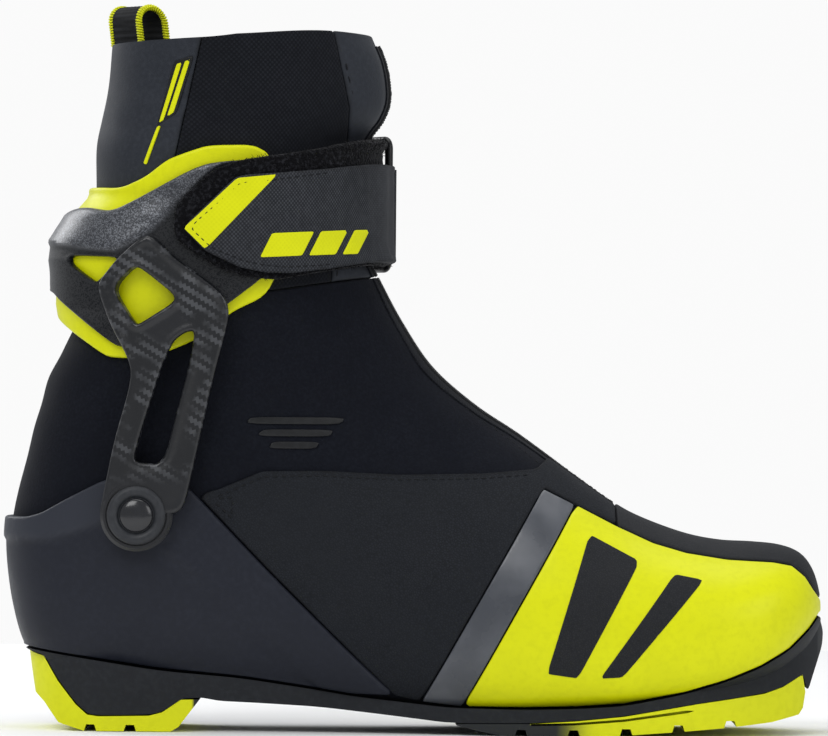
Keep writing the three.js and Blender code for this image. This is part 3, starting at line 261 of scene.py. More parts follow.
def line_distance(points: Rows, line: Rows) -> tuple[Rows, Rows]:
    """Signed distance to an open line, and how far along it.

    Args:
        points: rows of (x, z).
        line: the line's points.

    Returns:
        The distance, positive on the line's left, and the share of the line's length passed.
    """
    best = np.full(len(points), np.inf)
    signed = np.zeros(len(points))
    along = np.zeros(len(points))
    passed = 0.0
    total = np.linalg.norm(np.diff(line, axis=0), axis=1).sum()
    for a, b in zip(line[:-1], line[1:]):
        e = b - a
        length = np.linalg.norm(e)
        w = points - a
        t = np.clip(w @ e / length**2, 0, 1)
        d = np.linalg.norm(w - t[:, None] * e, axis=1)
        nearer = d < best
        side = np.sign(e[0] * w[:, 1] - e[1] * w[:, 0])
        best = np.where(nearer, d, best)
        signed = np.where(nearer, d * side, signed)
        along = np.where(nearer, (passed + t * length) / total, along)
        passed += length
    return signed, along


def run_along(points: Rows) -> Rows:
    """How far along a row of points each of them lies."""
    return np.concatenate([[0], np.cumsum(np.linalg.norm(np.diff(points, axis=0), axis=1))])


def sides_of(triangles: Rows) -> Rows:
    """The three directed sides of each triangle."""
    return np.vstack([triangles[:, pair] for pair in ([0, 1], [1, 2], [2, 0])])


def beside(drawn: Rows, line: Rows) -> Rows:
    """Signed distance of drawn points to a line in the side view."""
    return line_distance(drawn[:, [0, 2]], line)[0]


def smooth(low: float, high: float, value: Rows) -> Rows:
    """Rises from 0 at low to 1 at high."""
    t = np.clip((value - low) / (high - low), 0, 1)
    return t * t * (3 - 2 * t)


class BootSurface:
    """The outer face of the soft boot, as a smooth surface of a station and an angle.

    Stations run from 0 at the rim through 1, where the shaft ends, and 2, where the toe begins, to
    3 at the tip of the toe. The angle is 0 in front, 180 at the back or sole, negative laterally.
    """

    FAN = np.array([51.0, 175.0])
    TOE_TIP = np.array([145.6, 44.5])
    RIM_X, RIM_HEIGHT, RIM_SLOPE = -66.0, 250.3, 0.054

    def __init__(self, step: float = 0.005) -> None:
        """Measures the sections at every step of the stations.

        Args:
            step: from one station to the next.
        """
        self.stations = np.arange(0, 3 + step / 2, step)
        front, back = catmull(FRONT_LINE, 420), catmull(BACK_LINE, 420)
        rows = [self._section(at, front, back) for at in self.stations]
        self.table = np.array(rows).T
        pins = [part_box(f"pivot_pin_{side}") for side in ("lateral", "medial")]
        middle = (pins[0][0] + pins[1][1]) / 2 / MM
        self.shift = np.array([middle.x - PIVOT[0], (pins[0][0].y + pins[1][1].y) / 2 / MM, 0.0])

    def _section(self, at: float, front: Rows, back: Rows) -> list[float]:
        """Origin, direction, near and far reach, then the section's own sizes, at a station.

        Args:
            at: the station.
            front: the front outline.
            back: the back outline.

        Returns:
            One row of the table.
        """
        level = 1 - min(at, 1)
        turn = np.clip(at - 1, 0, 1) * math.pi / 2
        along = np.clip(at - 2, 0, 1)
        rise = self.RIM_HEIGHT + self.RIM_SLOPE * (self.FAN[0] - self.RIM_X) - self.FAN[1]
        origin = self.FAN + [
            (self.TOE_TIP[0] - self.FAN[0]) * math.sin(along * math.pi / 2), level * rise,
        ]
        d = np.array([-math.cos(turn), -math.sin(turn) - self.RIM_SLOPE * level])
        d /= np.linalg.norm(d)
        if at > 3 - 1e-9:
            near = far = origin[1] - self.TOE_TIP[1]
        else:
            near, far = self._reach(front, origin, d), self._reach(back, origin, d)
        return [*origin, *d, near, far, *self._sizes(at)]

    @staticmethod
    def _reach(line: Rows, origin: Rows, d: Rows) -> float:
        """How far along a ray a side outline is met.

        Args:
            line: the side outline.
            origin: where the ray starts.
            d: its direction.

        Returns:
            The distance in millimetres.
        """
        w = line - origin
        off = d[0] * w[:, 1] - d[1] * w[:, 0]
        for i in np.nonzero(off[:-1] * off[1:] <= 0)[0]:
            if off[i] == off[i + 1]:
                continue
            hit = (w[i] + (w[i + 1] - w[i]) * off[i] / (off[i] - off[i + 1])) @ d
            if hit > -1e-6:
                return float(hit)
        raise ValueError("a section misses the side outline")

    @staticmethod
    def _sizes(at: float) -> Rows:
        """Half widths, widest place, both powers and the shift of the section at a station.

        Args:
            at: the station.

        Returns:
            The six sizes.
        """
        last = len(SECTIONS) - 1
        k = int(np.clip(np.searchsorted(SECTIONS[:, 0], at, side="right") - 1, 0, last - 1))
        p, a, b, q = (SECTIONS[int(np.clip(n, 0, last))] for n in (k - 1, k, k + 1, k + 2))
        t = (at - a[0]) / (b[0] - a[0])
        slope_a = (b - p) / ((b[0] - p[0]) or 1) * (b[0] - a[0])
        slope_b = (q - a) / ((q[0] - a[0]) or 1) * (b[0] - a[0])
        mixed = (2 * t**3 - 3 * t**2 + 1) * a + (t**3 - 2 * t**2 + t) * slope_a
        mixed = mixed + (3 * t**2 - 2 * t**3) * b + (t**3 - t**2) * slope_b
        return mixed[1:]

    def points(self, params: Rows) -> Rows:
        """Points of the surface in drawn millimetres, for rows of (station, degrees).

        Args:
            params: the places.

        Returns:
            Rows of (x, y, z).
        """
        at = np.clip(params[:, 0], 0, 3)
        get = [np.interp(at, self.stations, row) for row in self.table]
        ox, oz, dx, dz, near, far, lateral, medial, widest, front, back, shift = get
        angle = np.radians(params[:, 1])
        c, s = np.cos(angle), np.sin(angle)
        power = 2 / np.where(c > 0, front, back)
        share = np.where(c > 0, widest, 1 - widest)
        r = near + (far - near) * (widest - share * np.sign(c) * np.abs(c) ** power)
        half = np.where(s < 0, lateral, medial)
        y = half * np.sign(s) * np.abs(s) ** power + shift
        return np.stack([ox + dx * r, y, oz + dz * r], axis=1)

    def normals(self, params: Rows) -> Rows:
        """Outward unit normals, for rows of (station, degrees).

        Args:
            params: the places.

        Returns:
            Rows of (x, y, z).
        """
        at, degrees = params[:, 0], params[:, 1]
        step, turn = 0.01, 1.5
        low, high = np.maximum(0, at - step), np.minimum(2.995, at + step)
        along = self.points(np.stack([np.maximum(high, low + 0.002), degrees], 1))
        along = along - self.points(np.stack([low, degrees], 1))
        across = self.points(np.stack([at, degrees + turn], 1))
        across = across - self.points(np.stack([at, degrees - turn], 1))
        n = np.cross(along, across)
        length = np.linalg.norm(n, axis=1, keepdims=True)
        n = np.where(length > 1e-9, n / np.maximum(length, 1e-9), [1.0, 0.0, 0.0])
        tip = smooth(2.96, 2.998, at)[:, None]
        n = n * (1 - tip) + np.array([1.0, 0.0, 0.0]) * tip
        return n / np.linalg.norm(n, axis=1, keepdims=True)

    def lifted(self, params: Rows, distance: Rows | float) -> Rows:
        """Points at a distance out from the surface."""
        reach = np.broadcast_to(distance, (len(params),))[:, None]
        return self.points(params) + self.normals(params) * reach

    def place(self, drawn: Rows) -> Rows:
        """Turns drawn millimetres into the frame's metres."""
        return (drawn + self.shift) * MM


class MeshKit:
    """Makes Blender meshes from arrays, and welds, joins and smooths them."""

    @staticmethod
    def build(name: str, points: Rows, faces: list, sharp: float = 38) -> Piece:
        """Makes a smooth-shaded object.

        Args:
            name: the piece's name.
            points: corners in metres.
            faces: lists of corner numbers.
            sharp: the angle from which an edge is shown sharp, in degrees.

        Returns:
            The new object, linked to the scene.
        """
        mesh = bpy.data.meshes.new(name)
        mesh.from_pydata(np.asarray(points, float).tolist(), [], [list(map(int, f)) for f in faces])
        mesh.validate()
        MeshKit.shade(mesh, sharp)
        mesh.update()
        return MeshKit.show(name, mesh)

    @staticmethod
    def show(name: str, mesh: bpy.types.Mesh) -> Piece:
        """Puts a mesh into the scene."""
        obj = bpy.data.objects.new(name, mesh)
        bpy.context.scene.collection.objects.link(obj)
        return obj

    @staticmethod
    def shade(mesh: bpy.types.Mesh, sharp: float) -> None:
        """Shades a mesh smooth but for its edges over so many degrees."""
        mesh.polygons.foreach_set("use_smooth", np.ones(len(mesh.polygons), bool))
        mesh.set_sharp_from_angle(angle=math.radians(sharp))

    @staticmethod
    def drawn(obj: Piece) -> Rows:
        """A piece's corners in drawn millimetres."""
        return np.array([v.co for v in obj.data.vertices]) / MM - SURFACE.shift

    @staticmethod
    @contextmanager
    def edit(mesh: bpy.types.Mesh) -> Iterator[bmesh.types.BMesh]:
        """Opens a mesh for editing, and writes it back."""
        work = bmesh.new()
        work.from_mesh(mesh)
        yield work
        work.to_mesh(mesh)
        work.free()

    @staticmethod
    def quads(rows: int, columns: int, loop: bool = True, ring: bool = True) -> list[tuple[int, ...]]:
        """Faces between rows of corners.

        Args:
            rows: how many rows there are.
            columns: how many corners a row has.
            loop: whether the last row joins the first.
            ring: whether a row's last corner joins its first.

        Returns:
            Four corner numbers for each face.
        """
        faces = []
        for i in range(rows if loop else rows - 1):
            a, b = i * columns, (i + 1) % rows * columns
            for k in range(columns if ring else columns - 1):
                m = (k + 1) % columns
                faces.append((a + k, a + m, b + m, b + k))
        return faces

    @staticmethod
    def note(obj: Piece, name: str, values: Rows) -> None:
        """Stores one number at each corner, for the finishes to read."""
        attribute = obj.data.attributes.new(name, "FLOAT", "POINT")
        attribute.data.foreach_set("value", np.asarray(values, np.float32))

    @staticmethod
    def combine(first: Piece, other: Piece, operation: str) -> None:
        """Joins or cuts first with other, which is then removed.

        Args:
            first: the piece that changes.
            other: the tool.
            operation: UNION, INTERSECT or DIFFERENCE.
        """
        modifier = first.modifiers.new("cut", "BOOLEAN")
        modifier.operation, modifier.object, modifier.solver = operation, other, "MANIFOLD"
        graph = bpy.context.evaluated_depsgraph_get()
        made = bpy.data.meshes.new_from_object(first.evaluated_get(graph))
        first.modifiers.clear()
        old = first.data
        first.data = made
        bpy.data.meshes.remove(old)
        bpy.data.objects.remove(other)
        MeshKit.shade(made, 30)

    @staticmethod
    def tube(
        name: str, path: Rows, radius: float | Rows, sides: int = 10, loop: bool = False,
    ) -> Piece:
        """A round bar along a path.

        Args:
            name: the piece's name.
            path: points in metres.
            radius: the bar's radius, or one for each point, in metres.
            sides: how many flats go round.
            loop: whether the path closes on itself.

        Returns:
            The new object, capped at its ends if it is open.
        """
        path = np.asarray(path, float)
        count = len(path)
        radii = np.broadcast_to(radius, (count,))
        ahead = np.roll(path, -1, 0) - np.roll(path, 1, 0)
        if not loop:
            ahead[0], ahead[-1] = path[1] - path[0], path[-1] - path[-2]
        ahead /= np.linalg.norm(ahead, axis=1, keepdims=True)
        side = np.cross(ahead[0], [0, 0, 1.0])
        if np.linalg.norm(side) < 0.1:
            side = np.cross(ahead[0], [0, 1.0, 0])
        points = []
        for i in range(count):
            side = side - ahead[i] * (side @ ahead[i])
            side /= np.linalg.norm(side)
            other = np.cross(ahead[i], side)
            for k in range(sides):
                a = 2 * math.pi * k / sides
                points.append(path[i] + radii[i] * (math.cos(a) * side + math.sin(a) * other))
        faces = MeshKit.quads(count, sides, loop)
        if not loop:
            faces.append(tuple(range(sides))[::-1])
            faces.append(tuple((count - 1) * sides + k for k in range(sides)))
        return MeshKit.build(name, np.array(points), faces)

    @staticmethod
    def lathe(
        name: str, profile: list[tuple[float, float]], mirror: int, turns: int = 72,
    ) -> Piece:
        """A turned piece about the cuff's pivot.

        Args:
            name: the piece's name.
            profile: (radius, y) in millimetres from axis to axis, or closed on itself.
            mirror: -1 to put it on the lateral side, 1 on the medial one.
            turns: how many steps go round.

        Returns:
            The new object, in metres.
        """
        solid = profile[0][0] < 1e-6
        ring = profile if solid else profile[:-1]
        x, z = PIVOT
        points = []
        for k in range(turns):
            a = 2 * math.pi * k / turns
            points += [(x + r * math.cos(a), mirror * y, z + r * math.sin(a)) for r, y in ring]
        faces = MeshKit.quads(turns, len(ring), ring=not solid)
        obj = MeshKit.build(name, SURFACE.place(np.array(points)), faces)
        MeshKit.weld(obj)
        return obj

    @staticmethod
    def weld(obj: Piece, distance: float = 1e-6) -> None:
        """Merges corners that lie together, and turns the faces outwards."""
        with MeshKit.edit(obj.data) as work:
            bmesh.ops.remove_doubles(work, verts=work.verts, dist=distance)
            bmesh.ops.dissolve_degenerate(work, edges=work.edges, dist=distance)
            bmesh.ops.recalc_face_normals(work, faces=work.faces)
        obj.data.set_sharp_from_angle(angle=math.radians(38))

    @staticmethod
    def merge(name: str, parts: list[Piece]) -> Piece:
        """Makes one object of several, and names it.

        Args:
            name: the new object's name.
            parts: the objects, which are removed.

        Returns:
            The new object.
        """
        work = bmesh.new()
        for part in parts:
            work.from_mesh(part.data)
            old = part.data
            bpy.data.objects.remove(part)
            bpy.data.meshes.remove(old)
        mesh = bpy.data.meshes.new(name)
        work.to_mesh(mesh)
        work.free()
        MeshKit.shade(mesh, 38)
        return MeshKit.show(name, mesh)


@dataclass
class Region:
    """Which part of the surface a piece covers.

    Attributes:
        outline: the closed side outline.
        holes: closed side outlines cut out of it.
        lane: half the width left free along the front, in millimetres.
        half_width: half the width kept along the front, or 0 for all of it.
        rim: whether the piece ends at the collar's rim.
        corner: how strongly the outline's corners are rounded.
    """

    outline: Rows
    holes: tuple = ()
    lane: float = 0.0
    half_width: float = 0.0
    rim: bool = False
    corner: float = 0.2

    def depth(self, drawn: Rows) -> Rows:
        """How far inside the region each point is, negative outside.

        Args:
            drawn: the points.

        Returns:
            One depth for each, in millimetres.
        """
        sides = drawn[:, [0, 2]]
        value = signed_distance(sides, rounded(self.outline, 2, self.corner))
        for hole in self.holes:
            value = np.minimum(value, -signed_distance(sides, rounded(hole, 2, self.corner)))
        if self.lane:
            value = np.minimum(value, np.maximum(np.abs(drawn[:, 1]) - self.lane, 50 - drawn[:, 2]))
        if self.half_width:
            value = np.minimum(value, self.half_width - np.abs(drawn[:, 1]))
        if self.rim:
            slope = BootSurface.RIM_SLOPE
            top = BootSurface.RIM_HEIGHT - slope * (drawn[:, 0] - BootSurface.RIM_X)
            value = np.minimum(value, top - drawn[:, 2] + 0.02)
        return value


@dataclass
class Panel:
    """One layer of the boot: a piece of the surface with a thickness and rounded edges.

    Attributes:
        region: what it covers.
        inner: its inner face, out from the surface.
        thickness: how thick it is.
        stations: its first and last station.
        degrees: its first and last angle.
        spacing: the grid's cell, in millimetres.
        edge: the radius of its rounded edges.
        lift: an extra distance for rows of (station, degrees).
        relief: an extra height of the outer face, from drawn points and depths.
    """

    region: Region
    inner: float
    thickness: float
    stations: tuple[float, float]
    degrees: tuple[float, float] = (-180.0, 180.0)
    spacing: float = 1.7
    edge: float = 0.8
    lift: Callable[[Rows], Rows] | None = None
    relief: Callable[[Rows, Rows], Rows] | None = None
    params: Rows = field(default_factory=lambda: np.zeros((0, 2)))
    triangles: Rows = field(default_factory=lambda: np.zeros((0, 3), int))
    depth: Rows = field(default_factory=lambda: np.zeros(0))

    def _raise(self, params: Rows) -> Rows:
        """The layer's extra distance at each place."""
        return self.lift(params) if self.lift else np.zeros(len(params))

    def _depth(self, params: Rows) -> Rows:
        """How deep inside the region each place of the outer face is."""
        drawn = SURFACE.lifted(params, self.inner + self.thickness + self._raise(params))
        return self.region.depth(drawn)

    def _even(self, run: Rows, values: Rows) -> Rows:
        """Values about one cell apart along a run."""
        count = max(3, int(run[-1] / self.spacing) + 1)
        return np.interp(np.linspace(0, run[-1], count), run, values)

    def _grid(self) -> None:
        """Lays the grid over the piece's stations and angles."""
        low, high = self.stations
        fine = np.linspace(low, high, 300)
        probes = [SURFACE.points(np.stack([fine, np.full(300, a)], 1)) for a in (0.0, 90.0, 180.0)]
        step = np.max([np.linalg.norm(np.diff(p, axis=0), axis=1) for p in probes], axis=0)
        travelled = np.concatenate([[0], np.cumsum(step)])
        rows = self._even(travelled, fine)
        start, end = self.degrees
        angles = np.linspace(start, end, 1500)
        around = SURFACE.points(np.stack([np.full(1500, np.clip(2.2, low, high)), angles], 1))
        run = run_along(around)
        columns = self._even(run, angles)
        grid = np.stack(np.meshgrid(rows, columns, indexing="ij"), axis=-1)
        self.params = grid.reshape(-1, 2)
        n, m = len(rows), len(columns)
        i, j = np.meshgrid(np.arange(n - 1), np.arange(m - 1), indexing="ij")
        a = (i * m + j).ravel()
        b, c, d = a + m, a + m + 1, a + 1
        flip = ((i + j) % 2 == 0).ravel()[:, None]
        first = np.where(flip, np.stack([a, b, c], 1), np.stack([a, b, d], 1))
        second = np.where(flip, np.stack([a, c, d], 1), np.stack([b, c, d], 1))
        self.triangles = np.vstack([first, second])
        self.depth = self._depth(self.params)
        self._drop()

    def _drop(self) -> None:
        """Drops triangles that lie wholly outside, and corners that nothing uses."""
        keep = self.depth[self.triangles].max(axis=1) > 1e-7
        self.triangles = self.triangles[keep]
        used, flat = np.unique(self.triangles, return_inverse=True)
        self.triangles = flat.reshape(-1, 3)
        self.params, self.depth = self.params[used], self.depth[used]

    def _split(self, level: float) -> None:
        """Cuts the triangles along the line where the depth is level.

        Args:
            level: the depth, in millimetres.
        """
        value = self.depth - level
        value[np.abs(value) < 0.01] = 0.0
        sign = np.sign(value).astype(int)
        edges = sides_of(self.triangles)
        edges = np.unique(np.sort(edges, axis=1), axis=0)
        edges = edges[sign[edges[:, 0]] * sign[edges[:, 1]] < 0]
        a, b = self.params[edges[:, 0]], self.params[edges[:, 1]]
        va, vb = value[edges[:, 0]], value[edges[:, 1]]
        low, high = np.zeros(len(edges)), np.ones(len(edges))
        t = va / (va - vb)
        for _ in range(3):
            middle = self._depth(a + (b - a) * t[:, None]) - level
            same = np.sign(middle) == np.sign(va)
            low, va = np.where(same, t, low), np.where(same, middle, va)
            high, vb = np.where(same, high, t), np.where(same, vb, middle)
            t = low + (high - low) * np.clip(va / np.where(va == vb, 1, va - vb), 0, 1)
        base = len(self.params)
        self.params = np.vstack([self.params, a + (b - a) * t[:, None]])
        self.depth = np.concatenate([self.depth, np.full(len(edges), level)])
        cut = {(int(p), int(q)): base + k for k, (p, q) in enumerate(edges)}
        signs = sign[self.triangles]
        mixed = (signs.max(axis=1) > 0) & (signs.min(axis=1) < 0)
        made = []
        for tri in self.triangles[mixed].tolist():
            ring = []
            for p, q in zip(tri, tri[1:] + tri[:1]):
                ring.append(p)
                key = (p, q) if p < q else (q, p)
                if key in cut:
                    ring.append(cut[key])
            side = [0 if k >= base else int(sign[k]) for k in ring]
            for want in (1, -1):
                part = [k for k, s in zip(ring, side) if s == want or s == 0]
                made += [(part[0], part[k], part[k + 1]) for k in range(1, len(part) - 1)]
        self.triangles = np.vstack([self.triangles[~mixed], np.array(made, int).reshape(-1, 3)])

    def make(self, name: str) -> Piece:
        """Builds the panel's closed mesh.

        Args:
            name: the piece's name.

        Returns:
            The new object, with its depth inside the outline stored as "rim".
        """
        self._grid()
        self._split(0.0)
        self.depth[np.abs(self.depth) < 0.011] = 0.0
        inside = self.depth[self.triangles].mean(axis=1) > 0
        self.triangles = self.triangles[inside]
        self._drop()
        for share in (0.15, 0.45, 1.0):
            self._split(share * self.edge)
        depth = np.maximum(self.depth, 0)
        drawn = SURFACE.lifted(self.params, self.inner + self._raise(self.params))
        normal = SURFACE.normals(self.params)
        inset = self.edge - np.minimum(depth, self.edge)
        height = self.thickness - self.edge + np.sqrt(np.maximum(self.edge**2 - inset**2, 0))
        if self.relief:
            height = height + self.relief(drawn, depth) * smooth(0, self.edge, depth)
        outer = drawn + normal * np.maximum(height, 0.15)[:, None]
        keys = np.round(outer, 3)
        _, first, flat = np.unique(keys, axis=0, return_index=True, return_inverse=True)
        flat = flat.ravel()
        tri = flat[self.triangles]
        good = (tri[:, 0] != tri[:, 1]) & (tri[:, 1] != tri[:, 2]) & (tri[:, 0] != tri[:, 2])
        tri = tri[good]
        outer, inner, depth = outer[first], drawn[first], depth[first]
        directed = sides_of(tri)
        count = len(outer)
        code = directed[:, 0] * count + directed[:, 1]
        back = directed[:, 1] * count + directed[:, 0]
        border = directed[~np.isin(code, back)]
        wall = [(q, p, p + count, q + count) for p, q in border]
        faces = tri.tolist() + (tri[:, ::-1] + count).tolist() + wall
        obj = MeshKit.build(name, SURFACE.place(np.vstack([outer, inner])), faces)
        both = np.concatenate([depth, depth])
        with MeshKit.edit(obj.data) as work:
            rim = work.verts.layers.float.new("rim")
            for vertex in work.verts:
                vertex[rim] = both[vertex.index]
            bmesh.ops.delete(work, geom=[v for v in work.verts if not v.link_faces], context="VERTS")
        return obj


class Grain(Enum):
    """What the surface of a finish is like close up."""

    CLOTH = "woven cloth"
    SOFTSHELL = "brushed softshell"
    LEATHER = "grained synthetic"
    MOULDED = "moulded plastic"
    FLECK = "plastic with metal flecks"
    TWILL = "carbon twill"
    PILE = "looped pile"
    RUBBER = "moulded rubber"
    METAL = "drawn metal"
    FILM = "printed film"


Colour = tuple[float, float, float]


class Shader:
    """A material's nodes, with short ways to add and join them."""

    def __init__(self, name: str) -> None:
        """Starts a material whose textures lie in the object's own coordinates."""
        self.material = bpy.data.materials.new(name)
        self.material.use_nodes = True
        self.tree = self.material.node_tree
        self.surface = next(n for n in self.tree.nodes if n.type == "BSDF_PRINCIPLED")
        self.place = self.node("TexCoord").outputs["Object"]

    def node(self, kind: str, **settings: object) -> bpy.types.Node:
        """Adds a node and sets its properties."""
        made = self.tree.nodes.new("ShaderNode" + kind)
        for key, value in settings.items():
            setattr(made, key, value)
        return made

    def feed(self, socket: Socket, value: object) -> None:
        """Links a socket to another, or sets its value.

        Args:
            socket: the input.
            value: another socket, a colour or a number.
        """
        if isinstance(value, Socket):
            self.tree.links.new(value, socket)
        elif isinstance(value, tuple) and len(value) == 3 and socket.type == "RGBA":
            socket.default_value = (*value, 1.0)
        else:
            socket.default_value = value

    def calc(self, operation: str, *values: object) -> Socket:
        """One sum of numbers."""
        made = self.node("Math", operation=operation)
        for socket, value in zip(made.inputs, values):
            self.feed(socket, value)
        return made.outputs[0]

    def split(self) -> list[Socket]:
        """The place's x, y and z, in metres."""
        made = self.node("SeparateXYZ")
        self.feed(made.inputs[0], self.place)
        return list(made.outputs)

    def noise(self, millimetres: float, detail: float = 2.0) -> Socket:
        """Noise whose blots are about so wide."""
        made = self.node("TexNoise")
        self.feed(made.inputs["Vector"], self.place)
        made.inputs["Scale"].default_value = 1 / (millimetres * MM)
        made.inputs["Detail"].default_value = detail
        return made.outputs[0]

    def cells(self, millimetres: float, output: str = "Distance", feature: str = "F1"
              ) -> Socket:
        """Cells about so wide: their distance or their random colour."""
        made = self.node("TexVoronoi", feature=feature)
        self.feed(made.inputs["Vector"], self.place)
        made.inputs["Scale"].default_value = 1 / (millimetres * MM)
        return made.outputs[output]

    def ramp(self, value: object, low: float, high: float) -> Socket:
        """Rises from 0 at low to 1 at high."""
        made = self.node("MapRange", interpolation_type="SMOOTHSTEP")
        self.feed(made.inputs["Value"], value)
        made.inputs["From Min"].default_value, made.inputs["From Max"].default_value = low, high
        return made.outputs["Result"]

    def tint(self, share: object, first: object, second: object) -> Socket:
        """A mix of two colours."""
        made = self.node("Mix", data_type="RGBA")
        self.feed(made.inputs["Factor"], share)
        self.feed(made.inputs[6], first)
        self.feed(made.inputs[7], second)
        return made.outputs[2]

    def noted(self, name: str) -> Socket:
        """A number stored at the mesh's corners."""
        return self.node("Attribute", attribute_name=name).outputs["Fac"]

    def bump(self, height: object, depth: float, strength: float = 1.0) -> None:
        """Raises the surface by a height of depth millimetres."""
        made = self.node("Bump")
        made.inputs["Strength"].default_value = strength
        made.inputs["Distance"].default_value = depth * MM
        self.feed(made.inputs["Height"], height)
        self.feed(self.surface.inputs["Normal"], made.outputs["Normal"])


@dataclass(frozen=True)
class Finish:
    """A material of the boot.

    Attributes:
        name: what it is called.
        colour: its main colour, linear.
        second: the colour that it varies to.
        roughness: how matt it is.
        grain: what it is like close up.
        size: the grain's size in millimetres.
        depth: the grain's height in millimetres.
        metal: how metallic it is.
        coat: how strong a clear coat lies over it.
        sheen: how strongly its fibres catch grazing light.
        edge_tone: how much its edges lighten, or darken if negative.
        zone: the colour where the mesh's "zone" is 1, if it has one.
        shine: how strongly it mirrors light.
    """

    name: str
    colour: Colour
    second: Colour
    roughness: float
    grain: Grain
    size: float = 0.8
    depth: float = 0.08
    metal: float = 0.0
    coat: float = 0.0
    sheen: float = 0.0
    edge_tone: float = 0.0
    zone: Colour | None = None
    shine: float = 0.3

    def material(self) -> bpy.types.Material:
        """Makes the finish's material, once."""
        known = f"boot_{self.name}"
        if known in bpy.data.materials:
            return bpy.data.materials[known]
        s = Shader(known)
        height, pattern = self._grain(s)
        blotch = s.ramp(s.noise(22, 3), 0.3, 0.7)
        colour = s.tint(s.calc("MULTIPLY", pattern, 0.85), self.colour, self.second)
        darker = tuple(c * 0.82 for c in self.colour)
        colour = s.tint(s.calc("MULTIPLY", blotch, 0.3), colour, darker)
        if self.zone:
            colour = s.tint(s.noted("zone"), colour, self.zone)
        # Edges lighten toward grey, or darken toward near-black when the strength is negative, in noisy
        # patches along the outline.
        if self.edge_tone:
            edge = s.ramp(s.noted("rim"), 1.4, 0.1)
            edge_patches = s.calc("MULTIPLY", edge, s.ramp(s.noise(6, 4), 0.35, 0.6))
            toward = (0.6, 0.6, 0.6) if self.edge_tone > 0 else (0.004, 0.004, 0.004)
            colour = s.tint(s.calc("MULTIPLY", edge_patches, abs(self.edge_tone)), colour, toward)
        s.feed(s.surface.inputs["Base Color"], colour)
        rough = s.calc("ADD", s.calc("MULTIPLY", s.noise(9, 3), 0.16), self.roughness - 0.08)
        s.feed(s.surface.inputs["Roughness"], s.calc("ADD", rough, s.calc("MULTIPLY", pattern, 0.06)))
        if self.grain is Grain.FLECK:
            s.feed(s.surface.inputs["Metallic"], s.calc("MULTIPLY", pattern, self.metal))
        else:
            s.surface.inputs["Metallic"].default_value = self.metal
        for key, value in (("Coat Weight", self.coat), ("Coat Roughness", 0.22),
                           ("Sheen Weight", self.sheen), ("Sheen Roughness", 0.45),
                           ("Specular IOR Level", self.shine)):
            s.surface.inputs[key].default_value = value
        s.bump(height, self.depth)
        return s.material

    def _grain(self, s: Shader) -> tuple[Socket, Socket]:
        """The grain's height, and the pattern between its two colours, both from 0 to 1.

        Args:
            s: the material's shader.

        Returns:
            The two sockets.
        """
        if self.grain is Grain.CLOTH:
            return self._cloth(s)
        if self.grain is Grain.TWILL:
            return self._twill(s)
        if self.grain is Grain.SOFTSHELL:
            fibre = s.calc("MULTIPLY_ADD", s.cells(self.size), 0.6, s.noise(self.size * 0.6, 3))
            return fibre, s.ramp(s.noise(self.size * 1.5, 4), 0.35, 0.75)
        if self.grain is Grain.LEATHER:
            crack = s.cells(self.size, feature="DISTANCE_TO_EDGE")
            height = s.calc("MULTIPLY_ADD", s.ramp(crack, 0.0, 0.35), 0.8, s.noise(self.size * 3))
            return height, s.ramp(crack, 0.25, 0.0)
        if self.grain is Grain.FLECK:
            spark = s.node("SeparateColor")
            s.feed(spark.inputs[0], s.cells(self.size, "Color"))
            fleck = s.ramp(spark.outputs[0], 0.35, 0.95)
            return s.noise(self.size, 2), fleck
        if self.grain is Grain.PILE:
            loops = s.calc("MULTIPLY_ADD", s.cells(self.size), 0.8, s.noise(self.size * 2.2, 4))
            return loops, s.ramp(s.noise(self.size * 1.4, 4), 0.45, 0.75)
        if self.grain is Grain.METAL:
            drawn = s.node("Mapping")
            s.feed(drawn.inputs["Vector"], s.place)
            drawn.inputs["Scale"].default_value = (1.0, 0.08, 1.0)
            line = s.node("TexNoise")
            s.feed(line.inputs["Vector"], drawn.outputs[0])
            line.inputs["Scale"].default_value = 1 / (self.size * MM)
            return line.outputs[0], line.outputs[0]
        if self.grain is Grain.FILM:
            return s.noise(self.size, 2), s.ramp(s.noise(14, 3), 0.35, 0.7)
        fine = s.noise(self.size, 4)
        return fine, s.ramp(s.noise(self.size * 4, 3), 0.4, 0.75)

    def _cloth(self, s: Shader) -> tuple[Socket, Socket]:
        """A plain weave: threads along and across that pass over each other in turn.

        Args:
            s: the material's shader.

        Returns:
            The height and the pattern.
        """
        x, y, z = s.split()
        across = s.calc("ADD", x, s.calc("MULTIPLY", y, 0.8))
        waves = []
        for place in (across, z):
            turned = s.calc("MULTIPLY", place, math.pi / (self.size * MM))
            waves.append(s.calc("SINE", turned))
        woven = s.calc("MULTIPLY_ADD", s.calc("MULTIPLY", *waves), 0.5, 0.5)
        uneven = s.calc("MULTIPLY_ADD", s.noise(self.size * 3, 3), 0.5, s.calc("MULTIPLY", woven, 0.7))
        return uneven, s.ramp(uneven, 0.45, 0.95)

